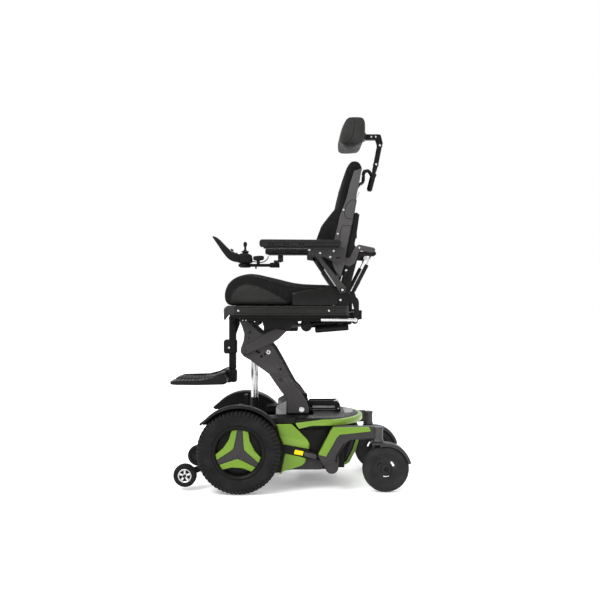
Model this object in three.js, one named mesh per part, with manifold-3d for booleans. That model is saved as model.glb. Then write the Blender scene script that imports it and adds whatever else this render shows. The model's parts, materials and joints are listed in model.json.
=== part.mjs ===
// Power wheelchair with rear casters, a power seat lift, tilt and recline, shown with its seat raised.
// Millimetres. Front is -X, the user's right is +Y, up is +Z, and the floor is Z = 0.
import * as THREE from "three";
import { mergeVertices } from "three/addons/utils/BufferGeometryUtils.js";
import Module from "manifold-3d";

const wasm = await Module();
wasm.setup();

// ---- driving dimensions ----
const GAP = 0.4;
const DRIVE = { x: -208, z: 178, r: 178, rimR: 112, inner: 236, outer: 308 };
const CASTER = { stemX: 385, axleX: 419, z: 100, r: 100, y: 232, halfWidth: 24 };
const CASTER_PIVOT = { x: 188, z: 109 };
const ANTITIP = { x: -444, z: 66, r: 50, y: 212, halfWidth: 17 };
const SIDE = { inner: 156, outer: 168, pontoon: 203 };
const COVER_TOP = 317;
const LIFT_PIVOT = { x: 59, z: 338 };
const KNEE = { x: -193, z: 597 };
const LINK_OFFSET = { x: 14, z: 37 };
const LINK_Y = 60;
const ARM_PLATE = { inner: 128, outer: 142 };
const CARRIER_PLATE = { inner: 144, outer: 152 };
const ACTUATOR_BASE = { x: -153, z: 122 };
const ACTUATOR_TOP = { x: -144, z: 582 };
const RAIL = { inner: 208, outer: 232, bottom: 757, top: 796, front: -271, rear: 259 };
const TILT_PIVOT = { x: 170, z: 741 };
const TILT_REAR_PIN = { x: 296, z: 730 };
const TILT_FRONT_PIN = { x: 0, z: 706 };
const TILT_Y = -100;
const RECLINE_PIVOT = { x: 233, z: 865 };
const STRUT_LOWER = { x: 279, z: 850 };
const STRUT_UPPER = { x: 368, z: 1023 };
const POST = { inner: 194, outer: 204 };
const ARMREST = { plateInner: 233, plateOuter: 241, padInner: 236, padOuter: 300, padBottom: 1048, padTop: 1080 };
const LEG_PIVOT = { x: -257, z: 738 };
const FOOT_HINGE = { x: -266, z: 488 };
const JOYSTICK = { swingX: -66, y: 268, stickX: -219, centreZ: 1040 };
const HEAD_BAR_END = { x: 369, z: 1321 };
const HEAD_LOWER = { x: 400, z: 1443 };
const HEAD_UPPER = { x: 417, z: 1530 };
const HEAD_PAD_HALF = 128;

// ---- materials ----
function material(color, roughness, metalness) {
  return new THREE.MeshStandardMaterial({ color, roughness, metalness });
}
const blackMetal = material(0x1b1b1d, 0.5, 0.6);
const darkGrey = material(0x3b3a3b, 0.45, 0.6);
const midGrey = material(0x5f5d5d, 0.45, 0.5);
const blackPlastic = material(0x161617, 0.55, 0.0);
const green = material(0x7ea92f, 0.35, 0.0);
const rubber = material(0x121212, 0.85, 0.0);
const chrome = material(0xd8dadd, 0.12, 1.0);
const silver = material(0xb5b7ba, 0.35, 0.9);
const fabric = material(0x1a1a1c, 0.9, 0.0);
const padSkin = material(0x1e1e1f, 0.7, 0.0);

// ---- solids ----
// A closed mesh as a solid: shared corners merged, empty triangles dropped, faces turned outwards.
function solid(geometry) {
  const bare = geometry.index ? geometry.toNonIndexed() : geometry.clone();
  bare.deleteAttribute("normal");
  bare.deleteAttribute("uv");
  const merged = mergeVertices(bare, 1e-4);
  const vertProperties = new Float32Array(merged.attributes.position.array);
  const corner = (i) => new THREE.Vector3().fromArray(vertProperties, 3 * i);
  const triangles = [];
  let volume = 0;
  for (let i = 0; i < merged.index.count; i += 3) {
    const [a, b, c] = merged.index.array.slice(i, i + 3);
    if (a === b || b === c || c === a) {
      continue;
    }
    triangles.push([a, b, c]);
    volume += corner(a).dot(corner(b).cross(corner(c)));
  }
  const outward = triangles.map(([a, b, c]) => (volume < 0 ? [a, c, b] : [a, b, c]));
  const triVerts = new Uint32Array(outward.flat());
  return new wasm.Manifold(new wasm.Mesh({ numProp: 3, vertProperties, triVerts }));
}

function geometryOf(manifold) {
  const mesh = manifold.getMesh();
  const geometry = new THREE.BufferGeometry();
  geometry.setAttribute("position", new THREE.BufferAttribute(new Float32Array(mesh.vertProperties), 3));
  geometry.setIndex(new THREE.BufferAttribute(new Uint32Array(mesh.triVerts), 1));
  const flat = geometry.toNonIndexed();
  flat.computeVertexNormals();
  return flat;
}

function join(...parts) {
  return parts.flat().reduce((whole, part) => whole.add(part));
}

function box(x0, x1, y0, y1, z0, z1) {
  const geometry = new THREE.BoxGeometry(x1 - x0, y1 - y0, z1 - z0);
  geometry.translate((x0 + x1) / 2, (y0 + y1) / 2, (z0 + z1) / 2);
  return solid(geometry);
}

// A round bar between two points.
function rod(from, to, radius, sides = 12) {
  const start = new THREE.Vector3(...from);
  const end = new THREE.Vector3(...to);
  const geometry = new THREE.CylinderGeometry(radius, radius, start.distanceTo(end), sides);
  const direction = end.clone().sub(start).normalize();
  geometry.applyQuaternion(new THREE.Quaternion().setFromUnitVectors(new THREE.Vector3(0, 1, 0), direction));
  const middle = start.add(end).multiplyScalar(0.5);
  geometry.translate(middle.x, middle.y, middle.z);
  return solid(geometry);
}

// A round bar along Y through a side-view point.
function pin(at, y0, y1, radius, sides = 12) {
  return rod([at.x, y0, at.z], [at.x, y1, at.z], radius, sides);
}

function outline(points) {
  return new THREE.Shape(points.map(([a, b]) => new THREE.Vector2(a, b)));
}

// A side-view outline (x, z) extruded across Y.
function plate(points, y0, y1) {
  const shape = Array.isArray(points) ? outline(points) : points;
  const geometry = new THREE.ExtrudeGeometry(shape, { depth: y1 - y0, bevelEnabled: false, curveSegments: 10 });
  geometry.rotateX(Math.PI / 2);
  geometry.translate(0, y1, 0);
  return solid(geometry);
}

// A plan outline (x, y) extruded up Z.
function slab(points, z0, z1) {
  const shape = Array.isArray(points) ? outline(points) : points;
  const geometry = new THREE.ExtrudeGeometry(shape, { depth: z1 - z0, bevelEnabled: false, curveSegments: 9 });
  geometry.translate(0, 0, z0);
  return solid(geometry);
}

// A section (y, z) extruded along X.
function bar(points, x0, x1) {
  const geometry = new THREE.ExtrudeGeometry(outline(points), { depth: x1 - x0, bevelEnabled: false });
  const cyclic = new THREE.Matrix4().makeBasis(
    new THREE.Vector3(0, 1, 0), new THREE.Vector3(0, 0, 1), new THREE.Vector3(1, 0, 0));
  geometry.applyMatrix4(cyclic);
  geometry.translate(x0, 0, 0);
  return solid(geometry);
}

// A profile of (radius, distance outwards) turned about an axis along Y.
function turned(profile, at, side, sides = 32) {
  const points = profile.map(([radius, distance]) => new THREE.Vector2(radius, side * distance));
  const geometry = new THREE.LatheGeometry(points, sides);
  geometry.translate(at.x, 0, at.z);
  return solid(geometry);
}

// A round tube or bar that follows points.
function tubeAlong(points, radius, sides = 10, steps = 24) {
  const section = new THREE.Shape();
  section.absarc(0, 0, radius, 0, Math.PI * 2);
  const path = new THREE.CatmullRomCurve3(points.map((p) => new THREE.Vector3(...p)), false, "centripetal");
  const settings = { steps, extrudePath: path, bevelEnabled: false, curveSegments: sides / 2 };
  return solid(new THREE.ExtrudeGeometry(section, settings));
}

// A flat bar whose side view runs from one point to another with round ends.
function strip(from, to, halfWidth, y0, y1, sides = 12) {
  const angle = Math.atan2(to.z - from.z, to.x - from.x);
  const shape = new THREE.Shape();
  shape.absarc(from.x, from.z, halfWidth, angle + Math.PI / 2, angle + Math.PI * 1.5, false);
  shape.absarc(to.x, to.z, halfWidth, angle - Math.PI / 2, angle + Math.PI / 2, false);
  const settings = { depth: y1 - y0, bevelEnabled: false, curveSegments: sides / 2 };
  const geometry = new THREE.ExtrudeGeometry(shape, settings);
  geometry.rotateX(Math.PI / 2);
  geometry.translate(0, y1, 0);
  return solid(geometry);
}

// side is -1 on the user's left and +1 on the user's right; the span is given as distances outwards.
function sideSpan(side, inner, outer) {
  return side < 0 ? [-outer, -inner] : [inner, outer];
}

const chair = new THREE.Group();

function add(name, shape, look) {
  const geometry = shape.isBufferGeometry ? shape : geometryOf(shape);
  const mesh = new THREE.Mesh(geometry, look);
  mesh.name = name;
  chair.add(mesh);
}

const SIDES = [["left", -1], ["right", 1]];

// ---- base ----
function chassisSide(side) {
  const [y0, y1] = sideSpan(side, SIDE.inner, SIDE.outer);
  const wall = plate([[-332, 98], [-332, 128], [-264, 150], [-226, 240], [-216, 262], [-216, 366], [-200, 366],
    [-200, 262], [246, 262], [246, 90], [-250, 90]], y0, y1);
  const [p0, p1] = sideSpan(side, SIDE.inner, SIDE.pontoon);
  const pontoon = box(-120, 165, p0, p1, 90, 262);
  const [h0, h1] = sideSpan(side, SIDE.inner - 2, SIDE.outer + 2);
  const motorHole = pin(DRIVE, h0, h1, 47, 24);
  const [s0, s1] = sideSpan(side, SIDE.outer - 4, 248);
  const shaft = pin(CASTER_PIVOT, s0, s1, 12);
  return join(wall.subtract(motorHole), pontoon, shaft);
}

// A lug that stands on the rear cross beam and carries the lift arm's shaft.
function liftLug(y0, y1) {
  const foot = plate([[20, 245], [98, 245], [80, 345], [38, 345]], y0, y1);
  return join(foot, pin(LIFT_PIVOT, y0, y1, 26));
}

function linkPivot() {
  return { x: LIFT_PIVOT.x + LINK_OFFSET.x, z: LIFT_PIVOT.z + LINK_OFFSET.z };
}

function chassis() {
  const reach = SIDE.inner + 2;
  const beams = [
    box(-300, -270, -reach, reach, 100, 125),
    box(-180, -126, -reach, reach, 92, 106),
    box(-10, 246, -reach, reach, 90, 95),
    box(22, 96, -reach, reach, 240, 262),
    plate([[244, 91], [258, 91], [284, 146], [298, 204], [298, 262], [244, 262]], -100, 100),
  ];
  const mainLugs = [liftLug(-126, -112), liftLug(112, 126)];
  const clevis = [[LINK_Y - 16, LINK_Y - 10], [LINK_Y + 10, LINK_Y + 16]].map(([y0, y1]) =>
    join(liftLug(y0, y1), strip(LIFT_PIVOT, linkPivot(), 14, y0, y1)));
  const shaftHole = pin(LIFT_PIVOT, -140, 140, 13);
  const lugs = join(mainLugs, clevis).subtract(shaftHole);
  const linkPin = pin(linkPivot(), LINK_Y - 15, LINK_Y + 15, 6);
  const actuatorLugs = [[-34, -26], [26, 34]].map(([y0, y1]) =>
    join(box(-168, -138, y0, y1, 104, 122), pin(ACTUATOR_BASE, y0, y1, 15)));
  const actuatorPin = pin(ACTUATOR_BASE, -30, 30, 6);
  const all = join(SIDES.map(([, side]) => chassisSide(side)), beams, lugs, linkPin, actuatorLugs, actuatorPin);
  return all;
}

// The plan outline of the rear body: straight sides, then half an ellipse around the back.
function rearPlan(front, halfWidth, straightTo, length) {
  const shape = new THREE.Shape();
  shape.moveTo(front, -halfWidth);
  shape.lineTo(straightTo, -halfWidth);
  shape.absellipse(straightTo, 0, length, halfWidth, -Math.PI / 2, Math.PI / 2, false);
  shape.lineTo(front, halfWidth);
  shape.closePath();
  return shape;
}

const RAIL_PLATE = { inner: 26, outer: 36 };
const PLAN = { front: -115, straightTo: 150, ringFront: 34, channel: 150, channelEnd: 112 };

function topCover() {
  const lid = slab(rearPlan(PLAN.front, 217, PLAN.straightTo, 176), 294, COVER_TOP);
  const skirt = slab(rearPlan(PLAN.front, 202, PLAN.straightTo, 160), 263, 300);
  const brims = [box(PLAN.front, PLAN.ringFront - 2, -231, -150, 294, COVER_TOP),
    box(PLAN.front, PLAN.ringFront - 2, 150, 231, 294, COVER_TOP)];
  const channel = box(PLAN.front - 5, PLAN.channelEnd, -PLAN.channel, PLAN.channel, 250, 330);
  const wall = 5;
  const roomRear = slab(rearPlan(PLAN.channelEnd + wall, 202 - wall, PLAN.straightTo, 160 - wall), 250, 312);
  const roomSides = SIDES.map(([, side]) => {
    const [y0, y1] = sideSpan(side, PLAN.channel + wall, 202 - wall);
    return box(PLAN.front + wall, PLAN.channelEnd + 2 * wall, y0, y1, 250, 312);
  });
  return join(lid, skirt, brims).subtract(channel).subtract(join(roomRear, roomSides));
}

function trimRing() {
  const outer = slab(rearPlan(PLAN.ringFront, 228, PLAN.straightTo, 187), 284, 307);
  const inner = slab(rearPlan(PLAN.ringFront - 10, 218, PLAN.straightTo, 177), 280, 312);
  const lips = SIDES.map(([, side]) => {
    const [y0, y1] = sideSpan(side, 218, 228);
    return plate([[PLAN.ringFront, 286], [PLAN.ringFront + 8, 270], [96, 274], [120, 286]], y0, y1);
  });
  return join(outer.subtract(inner), lips);
}

function sidePanel(side) {
  const [y0, y1] = sideSpan(side, 205, 231);
  const skin = plate([[-150, 120], [-150, 270], [-120, 289], [14, 290], [28, 276], [84, 220], [92, 204],
    [91, 180], [78, 140], [73, 124], [60, 111], [18, 97], [-34, 76], [-120, 76]], y0, y1);
  const [r0, r1] = sideSpan(side, 200, 226);
  const room = plate([[-144, 122], [-144, 266], [-118, 284], [12, 284], [78, 218], [86, 202], [85, 182],
    [68, 128], [58, 117], [-36, 82], [-118, 82]], r0, r1);
  return skin.subtract(room);
}

function arcBand(at, inner, outer, fromDeg, toDeg, segments = 14) {
  const points = [];
  for (let i = 0; i <= segments; i += 1) {
    const angle = THREE.MathUtils.degToRad(fromDeg + ((toDeg - fromDeg) * i) / segments);
    points.push([at.x + outer * Math.cos(angle), at.z + outer * Math.sin(angle)]);
  }
  for (let i = segments; i >= 0; i -= 1) {
    const angle = THREE.MathUtils.degToRad(fromDeg + ((toDeg - fromDeg) * i) / segments);
    points.push([at.x + inner * Math.cos(angle), at.z + inner * Math.sin(angle)]);
  }
  return points;
}

function fender(side) {
  const [a0, a1] = sideSpan(side, 232, 306);
  const arch = plate(arcBand(DRIVE, 189, 198, 38, 143), a0, a1);
  const [f0, f1] = sideSpan(side, 231.4, 234.4);
  const flange = plate(arcBand(DRIVE, 182, 197, 38, 143), f0, f1);
  const [b0, b1] = sideSpan(side, SIDE.outer + GAP, 234);
  const bracket = box(DRIVE.x - 8, DRIVE.x + 8, b0, b1, 357, 366);
  return join(arch, flange, bracket);
}

// A transport handle on the lid: two slotted plates close to the centre line, tied by a bar.
function rearRail() {
  const sides = SIDES.map(([, side]) => {
    const [y0, y1] = sideSpan(side, RAIL_PLATE.inner, RAIL_PLATE.outer);
    const shape = plate([[88, 317.5], [88, 350], [98, 363], [216, 363], [232, 350], [238, 317.5]], y0, y1);
    const slot = box(100, 214, y0 - 1, y1 + 1, 323, 341);
    return shape.subtract(slot);
  });
  return join(sides, rod([223, -RAIL_PLATE.inner - 1, 348], [223, RAIL_PLATE.inner + 1, 348], 7));
}

function battery(side) {
  const [y0, y1] = sideSpan(side, 4, 142);
  const [t0, t1] = sideSpan(side, 30, 50);
  const [u0, u1] = sideSpan(side, 96, 116);
  return join(box(0, 243.6, y0, y1, 95.4, 226), box(20, 40, t0, t1, 225, 234), box(20, 40, u0, u1, 225, 234));
}

function driveMotor(side) {
  const profile = [[0, 62], [46, 62], [46, 200], [32, 206], [32, 228], [12, 230], [12, 262], [0, 262]];
  return turned(profile, DRIVE, side, 20);
}

function antitipArm(side) {
  const [y0, y1] = sideSpan(side, SIDE.outer + GAP, 182);
  const blade = strip(ANTITIP, { x: -316, z: 113 }, 13, y0, y1);
  const [a0, a1] = sideSpan(side, 180, 236);
  const axle = pin(ANTITIP, a0, a1, 7);
  return join(blade, axle);
}

function antitipWheel(side) {
  const { r, y, halfWidth: w } = ANTITIP;
  const profile = [[7.4, y - w], [r - 4, y - w], [r, y - w + 5], [r, y + w - 5], [r - 4, y + w], [7.4, y + w],
    [7.4, y - w]];
  return turned(profile, ANTITIP, side, 14);
}

function driveTyre(side) {
  const { r, rimR, inner, outer } = DRIVE;
  const profile = [[rimR, inner + 8], [r - 14, inner], [r, inner + 16], [r, outer - 16], [r - 14, outer],
    [rimR, outer - 8], [rimR, inner + 8]];
  return turned(profile, DRIVE, side, 32);
}

function driveRim(side) {
  const { rimR, inner, outer } = DRIVE;
  const edge = rimR - GAP;
  const profile = [[12.4, inner + 2], [30, inner + 2], [30, 262], [edge - 10, 262], [edge - 10, inner + 10],
    [edge, inner + 8], [edge, outer - 8], [edge - 12, 282], [34, 286], [28, 298], [0, 298], [0, 262.5],
    [12.4, 262.5], [12.4, inner + 2]];
  const disc = turned(profile, DRIVE, side, 32);
  const windows = [90, 210, 330].map((middle) => {
    const [y0, y1] = sideSpan(side, inner, outer);
    return plate(arcBand(DRIVE, 44, 88, middle - 36 + 60, middle + 36 + 60, 6), y0, y1);
  });
  return disc.subtract(join(windows));
}

function casterArm(side) {
  const [y0, y1] = sideSpan(side, 208, 256);
  const leg = plate([[163, 100], [128, 165], [184, 268], [197, 280], [372, 280], [372, 238], [222, 247], [209, 237],
    [168, 157], [212, 118]], y0, y1);
  const [b0, b1] = sideSpan(side, 206, 260);
  const boss = pin(CASTER_PIVOT, b0, b1, 27, 24);
  const y = side * CASTER.y;
  const barrel = rod([CASTER.stemX, y, 226], [CASTER.stemX, y, 286], 23, 24);
  const stemBore = rod([CASTER.stemX, y, 220], [CASTER.stemX, y, 276], 11.4, 20);
  const [p0, p1] = sideSpan(side, 200, 249);
  const pivotBore = pin(CASTER_PIVOT, p0, p1, 12.4);
  return join(leg, boss, barrel).subtract(join(stemBore, pivotBore));
}

function casterFork(side) {
  const { stemX, axleX, z, y } = CASTER;
  const axle = { x: axleX, z };
  const stem = rod([stemX, side * y, 215], [stemX, side * y, 274], 11, 20);
  const [c0, c1] = sideSpan(side, y - 36, y + 22);
  const crown = plate([[360, 206], [360, 221], [410, 221], [424, 206]], c0, c1);
  const [l0, l1] = sideSpan(side, y - 36, y - 29);
  const leg = plate([[372, 214], [424, 214], [434, 106], [432, 92], [407, 90], [402, 104]], l0, l1);
  const [g0, g1] = sideSpan(side, y - 30, y + 22);
  const guard = plate(arcBand(axle, 105, 109, 12, 96, 12), g0, g1);
  const [s0, s1] = sideSpan(side, y - 34, y - 26);
  const guardWeb = plate(arcBand(axle, 96, 109, 60, 96, 6), s0, s1);
  const [a0, a1] = sideSpan(side, y - 32, y + 30);
  return join(stem, crown, leg, guard, guardWeb, pin(axle, a0, a1, 8));
}

function casterWheel(side) {
  const { axleX, z, r, y, halfWidth: w } = CASTER;
  const profile = [[8.4, y - w], [20, y - w], [56, y - 16], [r - 12, y - w], [r, y - 8], [r, y + 8], [r - 12, y + w],
    [56, y + 16], [20, y + w], [8.4, y + w], [8.4, y - w]];
  return turned(profile, { x: axleX, z }, side, 22);
}

add("chassis_frame", chassis(), blackMetal);
add("top_cover", topCover(), blackPlastic);
add("trim_ring", trimRing(), green);
add("rear_rail", rearRail(), blackMetal);
for (const [word, side] of SIDES) {
  add(`side_panel_${word}`, sidePanel(side), green);
  add(`fender_${word}`, fender(side), blackPlastic);
  add(`battery_${word}`, battery(side), blackPlastic);
  add(`drive_motor_${word}`, driveMotor(side), blackMetal);
  add(`antitip_arm_${word}`, antitipArm(side), blackMetal);
  add(`antitip_wheel_${word}`, antitipWheel(side), rubber);
  add(`drive_tyre_${word}`, driveTyre(side), rubber);
  add(`drive_rim_${word}`, driveRim(side), blackMetal);
  add(`caster_arm_${word}`, casterArm(side), blackMetal);
  add(`caster_fork_${word}`, casterFork(side), blackMetal);
  add(`caster_wheel_${word}`, casterWheel(side), rubber);
}

// ---- seat lift ----
const alongLift = new THREE.Vector2(KNEE.x - LIFT_PIVOT.x, KNEE.z - LIFT_PIVOT.z).normalize();

// A point on the lift arm: distance along it from its pivot, and distance above its centre line.
function onLift(along, above) {
  const x = LIFT_PIVOT.x + along * alongLift.x + above * alongLift.y;
  const z = LIFT_PIVOT.z + along * alongLift.y - above * alongLift.x;
  return { x, z };
}

function liftArm() {
  const edge = [[-18, 28], [20, 44], [60, 49], [92, 49], [137, 62], [183, 75], [226, 87], [270, 98], [306, 104],
    [345, 60], [376, 16], [384, 0], [376, -16], [352, -17], [277, -6], [235, 2], [182, 0], [128, -9],
    [75, -18], [37, -46], [0, -46], [-26, -20], [-28, 8]];
  const profile = edge.map(([along, above]) => {
    const point = onLift(along, above);
    return [point.x, point.z];
  });
  const cheeks = SIDES.map(([, side]) => plate(profile, ...sideSpan(side, ARM_PLATE.inner, ARM_PLATE.outer)));
  const reach = ARM_PLATE.outer;
  const shaft = pin(LIFT_PIVOT, -reach, reach, 12);
  const kneeTube = pin(KNEE, -reach, reach, 15, 20);
  const brace = pin(onLift(150, 8), -reach, reach, 9);
  const eyeBar = pin(ACTUATOR_TOP, -reach, -13, 8);
  const kneeBore = pin(KNEE, -reach - 2, reach + 2, 10, 20);
  return join(cheeks, shaft, kneeTube, brace, eyeBar).subtract(kneeBore);
}

function upperLinkPin() {
  return { x: KNEE.x + LINK_OFFSET.x, z: KNEE.z + LINK_OFFSET.z };
}

function liftLink() {
  const [y0, y1] = [LINK_Y - 7, LINK_Y + 7];
  const lower = linkPivot();
  const upper = upperLinkPin();
  const blade = join(strip(lower, upper, 8, y0, y1), pin(lower, y0, y1, 12), pin(upper, y0, y1, 12));
  return blade.subtract(join(pin(lower, y0 - 1, y1 + 1, 6.6), pin(upper, y0 - 1, y1 + 1, 6.6)));
}

function seatCarrier() {
  const cheeks = SIDES.map(([, side]) => {
    const [y0, y1] = sideSpan(side, CARRIER_PLATE.inner, CARRIER_PLATE.outer);
    const front = plate([[-215, 752], [-215, 730], [-206, 690], [-210, 606], [-204, 584], [-182, 584], [-168, 606],
      [-150, 640], [-116, 670], [-150, 730], [-150, 752]], y0, y1);
    const strut = plate([[-196, 584], [-176, 588], [-8, 655], [16, 690], [-30, 690], [-178, 615]], y0, y1);
    const beam = box(-212, TILT_PIVOT.x + 16, y0, y1, 730, 752);
    const rearLeg = plate([[-34, 680], [14, 680], [40, 735], [-50, 735]], y0, y1);
    return join(front, strut, beam, rearLeg).subtract(pin(TILT_PIVOT, y0 - 1, y1 + 1, 6.6));
  });
  const reach = CARRIER_PLATE.inner + 3;
  const shaft = pin(KNEE, -CARRIER_PLATE.outer, CARRIER_PLATE.outer, 9.5, 20);
  const tops = [-196, -100, 20, 120].map((x) => box(x - 12, x + 12, -reach, reach, 734, 750));
  const motorBlock = box(-108, 44, -70, 70, 696, 736);
  const linkLugs = [[LINK_Y - 16, LINK_Y - 9], [LINK_Y + 9, LINK_Y + 16]].map(([y0, y1]) =>
    plate([[-190, 622], [-168, 622], [-160, 660], [-184, 740], [-206, 740]], y0, y1));
  const linkPin = pin(upperLinkPin(), LINK_Y - 14, LINK_Y + 14, 6);
  const tiltLugs = [[TILT_Y - 20, TILT_Y - 14], [TILT_Y + 14, TILT_Y + 20]].map(([y0, y1]) =>
    plate([[-14, 694], [12, 694], [20, 740], [-20, 740]], y0, y1));
  const tiltCross = box(-14, 14, TILT_Y - 20, -68, 722, 740);
  return join(cheeks, shaft, tops, motorBlock, linkLugs, linkPin, tiltLugs, tiltCross);
}

// A point on the lift actuator, measured up from its base pivot.
function onActuator(distance) {
  const span = new THREE.Vector2(ACTUATOR_TOP.x - ACTUATOR_BASE.x, ACTUATOR_TOP.z - ACTUATOR_BASE.z).normalize();
  return [ACTUATOR_BASE.x + distance * span.x, 0, ACTUATOR_BASE.z + distance * span.y];
}

const STAGE = { housing: [21, 18.6, 195], tube: [18.2, 16.4, 67, 254], rod: [16, 240, 446] };

function actuatorHousing() {
  const [outer, bore, top] = STAGE.housing;
  const barrel = rod(onActuator(9), onActuator(top), outer, 20);
  const eye = pin(ACTUATOR_BASE, -14, 14, 14);
  const room = rod(onActuator(10), onActuator(top + 5), bore, 20);
  const hole = pin(ACTUATOR_BASE, -15, 15, 6.6);
  return join(barrel, eye).subtract(join(room, hole));
}

function actuatorTube() {
  const [outer, bore, low, high] = STAGE.tube;
  return rod(onActuator(low), onActuator(high), outer, 20).subtract(
    rod(onActuator(low - 5), onActuator(high + 5), bore, 20));
}

function actuatorRod() {
  const [radius, low, high] = STAGE.rod;
  const bar = rod(onActuator(low), onActuator(high), radius, 20);
  return join(bar, pin(ACTUATOR_TOP, -10, 10, 15));
}

add("lift_arm", liftArm(), darkGrey);
add("lift_link", liftLink(), darkGrey);
add("seat_carrier", seatCarrier(), midGrey);
add("actuator_housing", actuatorHousing(), blackMetal);
add("actuator_tube", actuatorTube(), blackMetal);
add("actuator_rod", actuatorRod(), chrome);

// ---- seat ----
function seatFrame() {
  const rails = SIDES.map(([, side]) => {
    const [y0, y1] = sideSpan(side, RAIL.inner, RAIL.outer);
    const rail = box(RAIL.front, RAIL.rear, y0, y1, RAIL.bottom, RAIL.top);
    const [g0, g1] = sideSpan(side, RAIL.outer - 4, RAIL.outer + 1);
    const groove = box(RAIL.front + 45, RAIL.rear - 12, g0, g1, 772, 781);
    const [u0, u1] = sideSpan(side, 214, 225);
    const upright = plate([[222, 780], [212, 850], [216, 880], [240, 886], [296, 862], [306, 840], [306, 735],
      [262, 735], [256, 780]], u0, u1);
    const stop = plate([[RAIL.front - 4, 735], [RAIL.front + 6, 735], [RAIL.front + 30, 760], [RAIL.front - 4, 760]],
      y0, y1);
    return join(rail.subtract(groove), upright, stop);
  });
  const reach = RAIL.inner + 6;
  const pan = box(-250, 214, -reach, reach, 786, 795);
  const crossbars = [-190, 0].map((x) => box(x - 10, x + 10, -reach, reach, 762, 790));
  const tiltLugs = SIDES.map(([, side]) => {
    const [y0, y1] = sideSpan(side, 155, 163);
    return join(plate([[150, 790], [150, 736], [190, 736], [190, 790]], y0, y1), pin(TILT_PIVOT, y0, y1, 18));
  });
  const tiltPins = SIDES.map(([, side]) => pin(TILT_PIVOT, ...sideSpan(side, 143, 160), 6));
  const rearCross = box(268, 290, -218, 218, 752, 770);
  const actuatorLugs = [[TILT_Y - 26, TILT_Y - 19], [TILT_Y + 19, TILT_Y + 26]].map(([y0, y1]) =>
    plate([[268, 765], [284, 722], [308, 722], [308, 740], [290, 765]], y0, y1));
  const actuatorPin = pin(TILT_REAR_PIN, TILT_Y - 24, TILT_Y + 24, 5);
  const strutLugs = SIDES.map(([, side]) => {
    const lug = plate([[266, 765], [266, 850], [279, 866], [292, 850], [292, 765]], ...sideSpan(side, 165, 173));
    return join(lug, pin(STRUT_LOWER, ...sideSpan(side, 170, 192), 5));
  });
  const pivotPins = SIDES.map(([, side]) => pin(RECLINE_PIVOT, ...sideSpan(side, 196, 247), 8));
  const legLugs = [[-34, -27], [27, 34]].map(([y0, y1]) =>
    plate([[-268, 722], [-246, 722], [-236, 790], [-250, 790], [-268, 760]], y0, y1));
  const legPin = pin(LEG_PIVOT, -30, 30, 6);
  return join(rails, pan, crossbars, tiltLugs, tiltPins, rearCross, actuatorLugs, actuatorPin, strutLugs,
    pivotPins, legLugs, legPin);
}

function seatCushion() {
  const profile = [[-283, 822], [-276, 860], [-262, 905], [-230, 926], [-180, 930], [-90, 915], [0, 890],
    [90, 886], [198, 886], [204, 800], [-262, 800], [-276, 808]];
  return plate(profile, -226, 226);
}

// A point between the tilt actuator's two pivots, measured from the rear one.
function onTilt(distance) {
  const dx = TILT_FRONT_PIN.x - TILT_REAR_PIN.x;
  const dz = TILT_FRONT_PIN.z - TILT_REAR_PIN.z;
  const length = Math.hypot(dx, dz);
  return [TILT_REAR_PIN.x + (dx * distance) / length, TILT_Y, TILT_REAR_PIN.z + (dz * distance) / length];
}

function tiltBody() {
  const barrel = rod(onTilt(14), onTilt(196), 15);
  const eye = pin(TILT_REAR_PIN, TILT_Y - 9, TILT_Y + 9, 15);
  const room = rod(onTilt(30), onTilt(200), 8.4);
  return join(barrel, eye).subtract(join(room, pin(TILT_REAR_PIN, TILT_Y - 12, TILT_Y + 12, 5.6)));
}

function tiltRod() {
  const eye = pin(TILT_FRONT_PIN, TILT_Y - 9, TILT_Y + 9, 11);
  return join(rod(onTilt(140), onTilt(290), 8), eye);
}

add("seat_frame", seatFrame(), blackMetal);
add("seat_cushion", seatCushion(), fabric);
add("tilt_actuator_body", tiltBody(), blackMetal);
add("tilt_actuator_rod", tiltRod(), silver);

// ---- back ----
const SHELL_FRONT = [[286, 1381], [267, 1321], [254, 1265], [237, 1218], [224, 1187], [215, 1144], [198, 1076],
  [190, 985], [202, 951], [224, 921]];
const SHELL_REAR = [[228, 921], [246, 985], [254, 1046], [267, 1106], [280, 1166], [288, 1205], [297, 1248],
  [295, 1265], [301, 1295], [310, 1338], [319, 1390]];

function backShell() {
  const band = [...SHELL_FRONT, ...SHELL_REAR];
  const cheeks = SIDES.map(([, side]) => plate(band, ...sideSpan(side, 206, 213)));
  const inner = [...SHELL_REAR].reverse().map(([x, z]) => [x - 7, z]);
  const rear = plate([...inner, ...SHELL_REAR], -209, 209);
  return join(rear, cheeks);
}

function backCushion() {
  const rearEdge = SHELL_REAR.slice(1).map(([x, z]) => [x - 9, z - 6]);
  const cap = [[312, 1395], [324, 1397], [327, 1410], [319, 1428], [298, 1435], [279, 1430], [263, 1394]];
  const front = [[243, 1330], [226, 1280], [206, 1220], [186, 1130], [172, 1050], [166, 960], [176, 936]];
  const core = plate([[214, 932], ...rearEdge, ...cap, ...front], -204, 204);
  const wings = SIDES.map(([, side]) =>
    plate([[214, 936], [240, 1060], [262, 1150], [240, 1238], [219, 1236], [181, 1196], [138, 1140], [118, 1080],
      [114, 1000], [122, 950], [140, 936]], ...sideSpan(side, 158, 204)));
  return join(core, wings);
}

function backPost(side) {
  const [y0, y1] = sideSpan(side, POST.inner, POST.outer);
  const post = plate([[224, 885], [232, 912], [252, 985], [259, 1044], [272, 1104], [285, 1164], [287, 1184],
    [309, 1196], [300, 1130], [303, 1085], [330, 1066], [372, 1040], [384, 1024], [376, 1010], [360, 1010], [312, 1030], [300, 985], [272, 890],
    [256, 850]], y0, y1);
  const boss = pin(RECLINE_PIVOT, y0, y1, 23, 20);
  return join(post, boss).subtract(pin(RECLINE_PIVOT, y0 - 1, y1 + 1, 8.6));
}

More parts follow.
